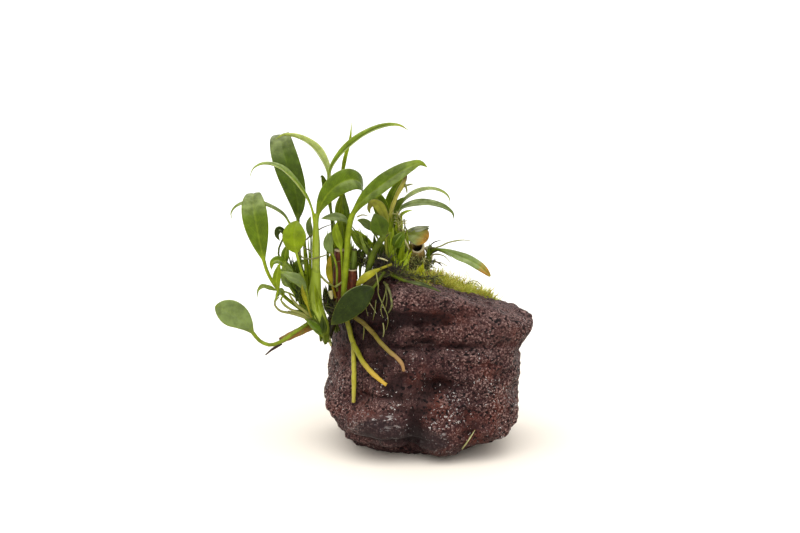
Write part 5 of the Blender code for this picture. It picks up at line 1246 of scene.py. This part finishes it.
class Shading:
    """Adds shader nodes to one tree. What goes into a node is a number, a colour or another node's socket."""

    def __init__(self, tree):
        self.tree = tree

    def give(self, node, **inputs):
        """Fills the node's sockets: Base_Color names the socket "Base Color", and _1 the second socket."""
        for name, value in inputs.items():
            socket = node.inputs[int(name[1:]) if name[0] == "_" else name.replace("_", " ")]
            if isinstance(value, bpy.types.NodeSocket):
                self.tree.links.new(value, socket)
            elif socket.type == "RGBA":
                socket.default_value = (*value, 1.0)
            else:
                socket.default_value = value
        return node

    def put(self, kind, settings=None, **inputs):
        """A new node of that kind; `settings` are its properties."""
        node = self.tree.nodes.new("ShaderNode" + kind)
        for name, value in (settings or {}).items():
            setattr(node, name, value)
        return self.give(node, **inputs)

    def group(self, name, **inputs):
        return self.put("Group", {"node_tree": mask_group(name)}, **inputs).outputs

    def place(self):
        return self.put("TexCoord").outputs["Object"]

    def mark(self, name):
        return self.put("Attribute", {"attribute_name": name}).outputs["Fac"]

    def maths(self, operation, first, *others):
        """The operation on the first value and each of the others in turn."""
        for other in others:
            first = self.put("Math", {"operation": operation}, _0=first, _1=other).outputs[0]
        return first

    def times(self, *values):
        return self.maths("MULTIPLY", *values)

    def plus(self, *values):
        return self.maths("ADD", *values)

    def minus(self, *values):
        return self.maths("SUBTRACT", *values)

    def highest(self, *values):
        return self.maths("MAXIMUM", *values)

    def changed(self, operation, value):
        return self.put("Math", {"operation": operation}, _0=value).outputs[0]

    def vectors(self, operation, first, second):
        return self.put("VectorMath", {"operation": operation}, _0=first, _1=second).outputs[0]

    def scaled(self, vector, scale):
        return self.put("VectorMath", {"operation": "SCALE"}, _0=vector, Scale=scale).outputs[0]

    def blend(self, amount, first, second):
        """Colour `first` going over to `second` by `amount`."""
        return self.put("Mix", {"data_type": "RGBA"}, _0=amount, _6=first, _7=second).outputs[2]

    def ramp(self, value, low, high, start=0.0, end=1.0):
        """A smooth step of `value` from `low` to `high`, going from `start` to `end`."""
        return self.put("MapRange", {"interpolation_type": "SMOOTHSTEP"}, Value=value, From_Min=low,
                        From_Max=high, To_Min=start, To_Max=end).outputs["Result"]

    def noise(self, scale, detail=2.0, roughness=0.5, where=None, output="Fac"):
        """Blender's noise, `scale` per metre in Object coordinates unless another place is given."""
        return self.put("TexNoise", Vector=where or self.place(), Scale=scale, Detail=detail,
                        Roughness=roughness).outputs[output]

    def bump(self, height, strength, distance):
        return self.put("Bump", Height=height, Strength=strength, Distance=distance).outputs["Normal"]


def leaf_masks(n, given):
    """Masks of a leaf: its middle line, ragged edge, tip, side veins (a sine that slants outwards), blotches."""
    from_rib, flat = n.mark("from_rib"), n.mark("flat")
    soft = n.noise(900.0, 3.0)
    ragged = n.plus(n.mark("from_edge"), n.times(soft, 0.25))
    wavering = n.plus(n.mark("along"), n.times(n.minus(n.noise(420.0), 0.5), 0.35))
    slant = n.minus(n.mark("run"), n.times(from_rib, VEIN_SLANT))
    course = n.changed("SINE", n.times(n.maths("DIVIDE", slant, VEIN_SPACING), FULL_TURN))
    vein = n.times(n.ramp(course, 0.55, 1.0), flat)
    return {
        "Rib": n.times(n.ramp(from_rib, 0.0, given["Line Width"], 1.0, 0.0), flat),
        "Edge": n.times(n.ramp(ragged, 0.1, given["Line Width"], 1.0, 0.0), flat),
        "Tip": n.ramp(wavering, given["Tip Start"], 1.0),
        "Vein": vein,
        "Blotch": n.noise(260.0, 3.0, 0.6),
        "Fleck": n.ramp(n.noise(2600.0, 1.0), 0.66, 0.78),
        "Height": n.plus(n.times(vein, 0.5), n.times(soft, 0.6)),
    }


def stem_masks(n, given):
    """Masks of a stem: its stripes (noise drawn out along it), blotches, tip, painted shade at the foot and in the
    hollow.
    """
    drawn_out = n.put("CombineXYZ", X=n.times(n.mark("turn"), 9.0), Y=n.times(n.mark("run"), 0.07))
    fibre = n.noise(1.0, 3.0, 0.6, drawn_out.outputs[0])
    spots = n.noise(420.0, 3.0, 0.6)
    along = n.mark("share")
    return {
        "Stripe": n.times(n.ramp(fibre, 0.42, 0.62), given["Stripe Share"]),
        "Blotch": n.times(n.ramp(spots, 0.5, 0.66), given["Blotch Share"]),
        "Tip": n.ramp(along, given["Tip From"], given["Tip To"]),
        "Shade": n.ramp(along, 0.0, 0.32, 0.44, 1.0),
        "Hollow": n.ramp(n.mark("hollow"), 0.25, 0.9),
        "Height": n.plus(fibre, n.times(n.noise(1500.0), 0.5)),
        "Roughness": n.ramp(spots, 0.3, 0.7, 0.5, 0.3),
    }


def fibre_masks(n, given):
    """Shares of the middle and of the last colour of a fibre by its tone mark, and its bump."""
    tone = n.plus(n.mark("tone"), n.times(n.minus(n.noise(700.0), 0.5), 0.4))
    return {
        "Middle": n.ramp(tone, 0.0, 0.5),
        "Last": n.ramp(tone, 0.5, 1.0),
        "Height": n.noise(2400.0),
        "Roughness": n.ramp(tone, 0.0, 1.0, n.plus(given["Roughness"], 0.1), n.minus(given["Roughness"], 0.1)),
    }


# Each node group: what works out its masks, and its inputs.
MASK_GROUPS = {
    "Leaf Marks": (leaf_masks, ("Line Width", "Tip Start")),
    "Stem Marks": (stem_masks, ("Stripe Share", "Blotch Share", "Tip From", "Tip To")),
    "Fibre Marks": (fibre_masks, ("Roughness",)),
}


def mask_group(name):
    """The node group of that name, built when it is first used."""
    group = bpy.data.node_groups.get(name)
    if group is None:
        work_out, inputs = MASK_GROUPS[name]
        group = bpy.data.node_groups.new(name, "ShaderNodeTree")
        for socket in inputs:
            group.interface.new_socket(socket, in_out="INPUT", socket_type="NodeSocketFloat")
        masks = work_out(Shading(group), group.nodes.new("NodeGroupInput").outputs)
        for socket in masks:
            group.interface.new_socket(socket, in_out="OUTPUT", socket_type="NodeSocketFloat")
        out = group.nodes.new("NodeGroupOutput").inputs
        for socket, mask in masks.items():
            group.links.new(mask, out[socket])
    return group


def new_material(name):
    """A material, the Shading that adds its nodes, and its shader."""
    material = bpy.data.materials.new(name)
    material.use_nodes = True
    return material, Shading(material.node_tree), material.node_tree.nodes["Principled BSDF"]


def leaf_material(finish, settings):
    """Upper and under side, middle line, edge, stalk and tip, each in its own colour, under a wet gloss."""
    name = f"{finish}_leaf"
    if name in bpy.data.materials:
        return bpy.data.materials[name]
    material, n, shader = new_material(name)
    *colours, tip_start, tip_share = LEAF_FINISHES[finish]
    upper, under, rib, edge, stalk, tip = (paint(*colour) for colour in colours)
    width = STRIPED_LINES if finish in STRIPED_FINISHES else PLAIN_LINES
    marks = n.group("Leaf Marks", Line_Width=width, Tip_Start=tip_start)
    # Painted sheen: pale where the blade faces the sky, patchy by the blotches.
    sheen = n.times(n.mark("skyward"), n.ramp(marks["Blotch"], 0.3, 0.7, 0.4, 0.66))
    colour = n.blend(n.mark("under"), upper, under)
    for amount, over in ((n.times(marks["Vein"], 0.12), rib), (n.times(marks["Rib"], 0.6), rib),
                         (n.times(marks["Edge"], 0.75), edge), (sheen, settings.sheen),
                         (n.times(marks["Tip"], tip_share), tip)):
        colour = n.blend(amount, colour, over)
    colour = n.blend(n.mark("flat"), stalk, colour)
    # Tone at random by the blotches and the leaf's tone mark, then painted shade that darkens the stalks' feet in the
    # crowded crowns.
    shade = n.plus(n.ramp(marks["Blotch"], 0.25, 0.75, 0.60, 1.10), n.mark("tone"))
    shade = n.times(shade, n.ramp(n.mark("climb"), 0.0, 0.45, 0.66, 1.0))
    colour = n.blend(n.times(marks["Fleck"], 0.25), n.scaled(colour, shade), edge)
    n.give(shader, Base_Color=colour, Normal=n.bump(marks["Height"], 0.35, 0.0002),
           Roughness=n.ramp(marks["Blotch"], 0.3, 0.7, settings.roughness + 0.08, settings.roughness - 0.06),
           Specular_IOR_Level=0.08, Subsurface_Weight=settings.glow, Subsurface_Radius=(0.6, 0.7, 0.05),
           Subsurface_Scale=0.001, Coat_Weight=settings.wetness, Coat_Roughness=0.12)
    return material


def stem_material(finish):
    """Stripes along the stem, blotches, another colour at the tip, a shaded foot and a fibrous bump."""
    name = f"stem_{finish}"
    if name in bpy.data.materials:
        return bpy.data.materials[name]
    material, n, shader = new_material(name)
    ground, stripes, blotches, stripe_share, blotch_share, tip, tip_from, tip_to = STEM_FINISHES[finish]
    marks = n.group("Stem Marks", Stripe_Share=stripe_share, Blotch_Share=blotch_share, Tip_From=tip_from,
                    Tip_To=tip_to)
    colour = n.blend(marks["Stripe"], paint(*ground), paint(*stripes))
    colour = n.blend(marks["Blotch"], colour, paint(*blotches))
    colour = n.blend(marks["Tip"], colour, paint(*tip))
    # Painted shade: darker towards the foot, and darkest deep in the hollow.
    colour = n.blend(marks["Hollow"], n.scaled(colour, marks["Shade"]), HOLLOW_SHADE_COLOUR)
    n.give(shader, Base_Color=colour, Normal=n.bump(marks["Height"], 0.5, 0.0003), Roughness=marks["Roughness"],
           Specular_IOR_Level=0.14, Coat_Weight=0.12, Coat_Roughness=0.15)
    return material


def fibre_material(name, chart, roughness, glow):
    """Three colours of the chart by the piece's tone mark, from 0 to 1, with a fine variation."""
    material, n, shader = new_material(name)
    dark, middle, pale = chart
    marks = n.group("Fibre Marks", Roughness=roughness)
    colour = n.blend(marks["Last"], n.blend(marks["Middle"], dark, middle), pale)
    n.give(shader, Base_Color=colour, Normal=n.bump(marks["Height"], 0.3, 0.0001), Roughness=marks["Roughness"],
           Subsurface_Weight=glow, Subsurface_Scale=0.0006)
    return material


def stone_material(settings):
    """Dark maroon lava: pale grains on its high places, black pores, smooth worn parts; painted sheen, shade and
    glints.

    Bent Voronoi cells are the grains, and the gaps between them the pores. Each colour goes over the ones
    before it by a mask of its own, made of noises, the cells and the stone's marks.
    """
    material, n, shader = new_material("wet_lava")
    where = n.place()
    aside = n.vectors("ADD", where, (0.3, 0.1, 0.2))
    height, rise = n.mark("height"), n.mark("skyward")
    rough = n.ramp(n.mark("smooth"), 0.15, 0.95, 1.0, 0.12)
    clumps, fine, drops = n.noise(260.0, 3.0, 0.6), n.noise(2100.0, 2.0, 0.6), n.noise(1000.0, 2.0, 0.6)
    bend = n.scaled(n.noise(1500.0, where=where, output="Color"), 0.0014)
    cells = n.put("TexVoronoi", Vector=n.vectors("ADD", where, bend), Scale=settings.grain_scale).outputs
    own = n.put("SeparateColor", Color=cells["Color"]).outputs["Red"]
    grain = n.times(n.ramp(cells["Distance"], 0.22, 0.66, 1.0, 0.0), rough)

    # Ground: red and grey patches, and the worn parts.
    colour = n.blend(n.ramp(n.noise(60.0, 4.0, 0.6), 0.44, 0.68), settings.dark, settings.red)
    colour = n.blend(n.ramp(n.noise(48.0, 3.0, 0.6, aside), 0.44, 0.64), colour, settings.grey)
    colour = n.blend(n.ramp(rough, 0.9, 0.3), colour, settings.worn)

    # Pale grains, partly the lava's own and partly a painted reflection: more on high and painted-lit places and in
    # clumps, some paler than others.
    raised = n.plus(n.times(height, 0.30), n.times(clumps, 1.3), n.times(own, 0.9))
    colour = n.blend(n.times(grain, n.ramp(raised, 0.45, 1.55), n.ramp(fine, 0.36, 0.58, 0.10, 0.9),
                             n.ramp(n.noise(85.0, 3.0, 0.6, aside), 0.36, 0.60, 0.40, 1.0)), colour, settings.grain_and_sheen)

    # Painted sheen: the bright room reflected on the wet places that face the sky.
    colour = n.blend(n.times(n.ramp(rise, 0.15, 0.95), n.ramp(clumps, 0.40, 0.62, 0.12, 0.50),
                             n.ramp(fine, 0.38, 0.58, 0.15, 1.0), n.ramp(rough, 0.2, 0.9, 0.25, 1.0)),
                     colour, settings.sky)

    # Dark: the gaps between the cells and a few whole cells, and painted shade on what lies low or faces down.
    gaps = n.times(n.ramp(cells["Distance"], 0.46, 0.80), rough)
    colour = n.blend(n.highest(n.times(gaps, 0.68), n.ramp(height, 0.0, -2.2, 0.0, 0.80),
                               n.ramp(rise, -0.12, -0.75, 0.0, 0.45), n.times(n.ramp(own, 0.22, 0.10), rough)),
                     colour, settings.pore_and_shade)

    # Painted glints: white highlights at the peaks of a fine noise, most of them in wet patches near one height.
    up = n.put("SeparateXYZ", Vector=where).outputs["Z"]
    band = n.changed("ABSOLUTE", n.minus(up, settings.glint_height))
    wet = n.ramp(n.noise(95.0), 0.42, 0.62, -0.04, 0.05)
    level = n.plus(n.minus(n.ramp(band, 0.007, 0.02, 0.0, 0.07), wet), settings.glint_level)
    colour = n.blend(n.times(n.ramp(n.minus(drops, level), 0.0, 0.015), n.ramp(fine, 0.45, 0.52),
                             n.ramp(rough, 0.2, 0.9, 0.15, 1.0)), colour, settings.glint)

    # Level streaks of light on the worn parts.
    flattened = n.vectors("MULTIPLY", where, (1.0, 1.0, 2.6))
    colour = n.blend(n.times(n.ramp(n.noise(260.0, 3.0, 0.6, flattened), 0.585, 0.635), n.ramp(rise, 0.0, 0.45),
                             n.ramp(rough, 0.85, 0.45, 0.0, 0.62)), colour, settings.glint)

    coarse = n.times(n.plus(grain, n.times(fine, 0.5)), rough)
    n.give(shader, Base_Color=colour, Normal=n.bump(coarse, 1.0, 0.0007),
           Roughness=n.ramp(n.times(rough, fine), 0.1, 0.6, 0.30, 0.62),
           Coat_Weight=n.ramp(rough, 0.1, 0.9, settings.wetness, 0.05), Coat_Roughness=0.14,
           Specular_IOR_Level=0.10)
    return material


def floor_material(settings):
    """Warm white near the piece, going over to plain white further back."""
    material, n, shader = new_material("pale_floor")
    back = n.put("SeparateXYZ", Vector=n.place()).outputs["Y"]
    warm = n.blend(n.times(n.noise(30.0, 3.0), 0.15), settings.floor, WHITE)
    colour = n.blend(n.ramp(back, settings.white_from, settings.white_to), warm, WHITE)
    n.give(shader, Base_Color=colour, Roughness=0.8, Specular_IOR_Level=0.1)
    return material


# --- Operators -------------------------------------------------------------------------------------------

def grow_leaves(leaves, settings):
    """Each leaf stands in place of its CAD node."""
    for leaf in leaves:
        surface, material = closed_skin(*leaf_surface(leaf, settings)), leaf_material(leaf.finish, settings)
        add_piece(f"{leaf.name}_grown", surface, material, [leaf.name], CAD_SLOTS[leaf.name])


class ANUBIAS_OT_stone(bpy.types.Operator):
    """Make the pitted stone"""
    bl_idname = "anubias.stone"
    bl_label = "Stone"

    def execute(self, context):
        settings = context.scene.anubias_stone
        add_piece("stone_pitted", stone_surface(settings), stone_material(settings), ["stone"], "stone")
        return {"FINISHED"}


class ANUBIAS_OT_stems(bpy.types.Operator):
    """Make the creeping stem, crowns, stumps and roots"""
    bl_idname = "anubias.stems"
    bl_label = "Stems and roots"

    def execute(self, context):
        settings = context.scene.anubias_stem
        for order, stem in enumerate([*STEMS, SLEEVE]):
            surface = stem_surface(stem, settings, STEM_SEED + 3 * order)
            nodes, slot = ([], SLEEVE_SLOT) if stem is SLEEVE else ([stem.name], CAD_SLOTS[stem.name])
            add_piece(f"{stem.name}_grown", surface, stem_material(stem.finish), nodes, slot)
        return {"FINISHED"}


class ANUBIAS_OT_tall_leaves(bpy.types.Operator):
    """Grow the tall and arching leaves"""
    bl_idname = "anubias.tall_leaves"
    bl_label = "Tall leaves"

    def execute(self, context):
        grow_leaves(TALL_LEAVES, context.scene.anubias_leaf)
        return {"FINISHED"}


class ANUBIAS_OT_centre_leaves(bpy.types.Operator):
    """Grow the short leaves in the middle"""
    bl_idname = "anubias.centre_leaves"
    bl_label = "Centre leaves"

    def execute(self, context):
        grow_leaves(CENTRE_LEAVES, context.scene.anubias_leaf)
        return {"FINISHED"}


class ANUBIAS_OT_small_leaves(bpy.types.Operator):
    """Grow the small leaves and the two broad ones at the left"""
    bl_idname = "anubias.small_leaves"
    bl_label = "Left leaves"

    def execute(self, context):
        grow_leaves(SMALL_LEAVES, context.scene.anubias_leaf)
        return {"FINISHED"}


class ANUBIAS_OT_right_leaves(bpy.types.Operator):
    """Grow the leaves of the right crown"""
    bl_idname = "anubias.right_leaves"
    bl_label = "Right leaves"

    def execute(self, context):
        grow_leaves(RIGHT_LEAVES, context.scene.anubias_leaf)
        return {"FINISHED"}


class ANUBIAS_OT_sheaves(bpy.types.Operator):
    """Fill the crowns with slim blades and sheaths"""
    bl_idname = "anubias.sheaves"
    bl_label = "Sheaves"

    def execute(self, context):
        settings = context.scene.anubias_leaf
        for seed, sheaf in enumerate(SHEAVES, start=1):
            surface = joined([closed_skin(*leaf_surface(leaf, settings, SHEAF_RINGS, SHEAF_SIDES))
                              for leaf in sheaf_leaves(sheaf, seed)])
            add_piece(sheaf.name, surface, leaf_material(sheaf.finish, settings), [], SHEAF_SLOT)
        return {"FINISHED"}


class ANUBIAS_OT_moss(bpy.types.Operator):
    """Scatter the moss strands over the stone's top"""
    bl_idname = "anubias.moss"
    bl_label = "Moss"

    def execute(self, context):
        settings = context.scene.anubias_moss
        chart = settings.old, settings.grown, settings.young
        material = fibre_material("moss_strands", chart, roughness=0.7, glow=0.2)
        add_piece("moss_patch", moss_surface(settings), material, ["moss_pad"], "moss")
        return {"FINISHED"}


class ANUBIAS_OT_tangles(bpy.types.Operator):
    """Tangle fine fibres round the creeping stem and the crowns"""
    bl_idname = "anubias.tangles"
    bl_label = "Tangles"

    def execute(self, context):
        material = fibre_material("tangle_fibre", TANGLE_COLOURS, roughness=0.55, glow=0.05)
        for order, tangle in enumerate(TANGLES):
            surface = tangle_surface(*tangle, seed=TANGLE_SEED + order)
            add_piece(f"tangle_{order + 1}", surface, material, [], FIBRE_SLOT)
        return {"FINISHED"}


class ANUBIAS_OT_threads(bpy.types.Operator):
    """Lay the fine root threads, thin stems and fibres"""
    bl_idname = "anubias.threads"
    bl_label = "Threads"

    def execute(self, context):
        material = fibre_material("thread_fibre", THREAD_COLOURS, roughness=0.45, glow=0.1)
        for thread in THREADS:
            surface = thread_surface(thread, context.scene.anubias_stem)
            add_piece(thread.name, surface, material, [], FIBRE_SLOT)
        return {"FINISHED"}


class ANUBIAS_OT_stage(bpy.types.Operator):
    """Set up the floor, the lamps and the camera"""
    bl_idname = "anubias.stage"
    bl_label = "Stage"

    def execute(self, context):
        settings = context.scene.anubias_stage
        half = 0.5 * settings.floor_size
        mesh = bpy.data.meshes.new("floor")
        mesh.from_pydata([(-half, -half, 0), (half, -half, 0), (half, half, 0), (-half, half, 0)], [],
                         [(0, 1, 2, 3)])
        mesh.materials.append(floor_material(settings))
        floor = bpy.data.objects.new("floor", mesh)
        floor.location.z = -FLOOR_DROP
        context.scene.collection.objects.link(floor)

        world = bpy.data.worlds.new("room")
        world.use_nodes = True
        n = Shading(world.node_tree)
        way = n.put("TexCoord").outputs["Generated"]
        up = n.put("SeparateXYZ", Vector=way).outputs["Z"]
        light = n.ramp(up, -0.1, 0.8, settings.wall_light, settings.ceiling_light)
        n.give(world.node_tree.nodes["Background"], Color=ROOM_COLOUR, Strength=light)
        context.scene.world = world

        for name, strength, tilt, turn in (("top_lamp", settings.top_strength, 30.0, 10.0),
                                           ("front_lamp", settings.front_strength, 62.0, -20.0)):
            lamp = bpy.data.lights.new(name, "SUN")
            lamp.energy = strength
            lamp.angle = settings.lamp_spread
            stand(name, lamp).rotation_euler = (math.radians(tilt), 0.0, math.radians(turn))

        camera = bpy.data.cameras.new("camera")
        camera.lens = camera.sensor_width * VIEW_DISTANCE / VIEW_WIDTH
        camera.clip_start, camera.clip_end = 0.01, 50.0
        context.scene.camera = stand("camera", camera)
        context.scene.camera.location = EYE * MM
        context.scene.camera.rotation_euler = (0.5 * math.pi - VIEW_TILT, 0.0, 0.0)
        context.scene.view_settings.view_transform = "Standard"
        return {"FINISHED"}


def stand(name, data):
    """A new object in the scene that holds the lamp or the camera."""
    placed = bpy.data.objects.new(name, data)
    bpy.context.scene.collection.objects.link(placed)
    return placed


class ANUBIAS_PT_panel(bpy.types.Panel):
    """Lists the pieces and their settings"""
    bl_label = "Anubias on Stone"
    bl_idname = "ANUBIAS_PT_panel"
    bl_space_type = "VIEW_3D"
    bl_region_type = "UI"
    bl_category = "Anubias"

    def draw(self, context):
        for operator in OPERATORS:
            self.layout.operator(operator.bl_idname)
        for label, group in SETTINGS.items():
            box = self.layout.box()
            box.label(text=label.replace("anubias_", "").capitalize())
            for name in group.__annotations__:
                box.prop(getattr(context.scene, label), name)


SETTINGS = {
    "anubias_leaf": LeafSettings,
    "anubias_stem": StemSettings,
    "anubias_stone": StoneSettings,
    "anubias_moss": MossSettings,
    "anubias_stage": StageSettings,
}
OPERATORS = (
    ANUBIAS_OT_stone,
    ANUBIAS_OT_stems,
    ANUBIAS_OT_tall_leaves,
    ANUBIAS_OT_centre_leaves,
    ANUBIAS_OT_small_leaves,
    ANUBIAS_OT_right_leaves,
    ANUBIAS_OT_sheaves,
    ANUBIAS_OT_moss,
    ANUBIAS_OT_tangles,
    ANUBIAS_OT_threads,
    ANUBIAS_OT_stage,
)
CLASSES = (*SETTINGS.values(), *OPERATORS, ANUBIAS_PT_panel)


def register():
    for made in CLASSES:
        bpy.utils.register_class(made)
    for name, group in SETTINGS.items():
        setattr(bpy.types.Scene, name, PointerProperty(type=group))


def unregister():
    for name in SETTINGS:
        delattr(bpy.types.Scene, name)
    for made in reversed(CLASSES):
        bpy.utils.unregister_class(made)


def main():
    register()
    for operator in OPERATORS:
        group, name = operator.bl_idname.split(".")
        getattr(getattr(bpy.ops, group), name)()


if __name__ == "__main__":
    main()
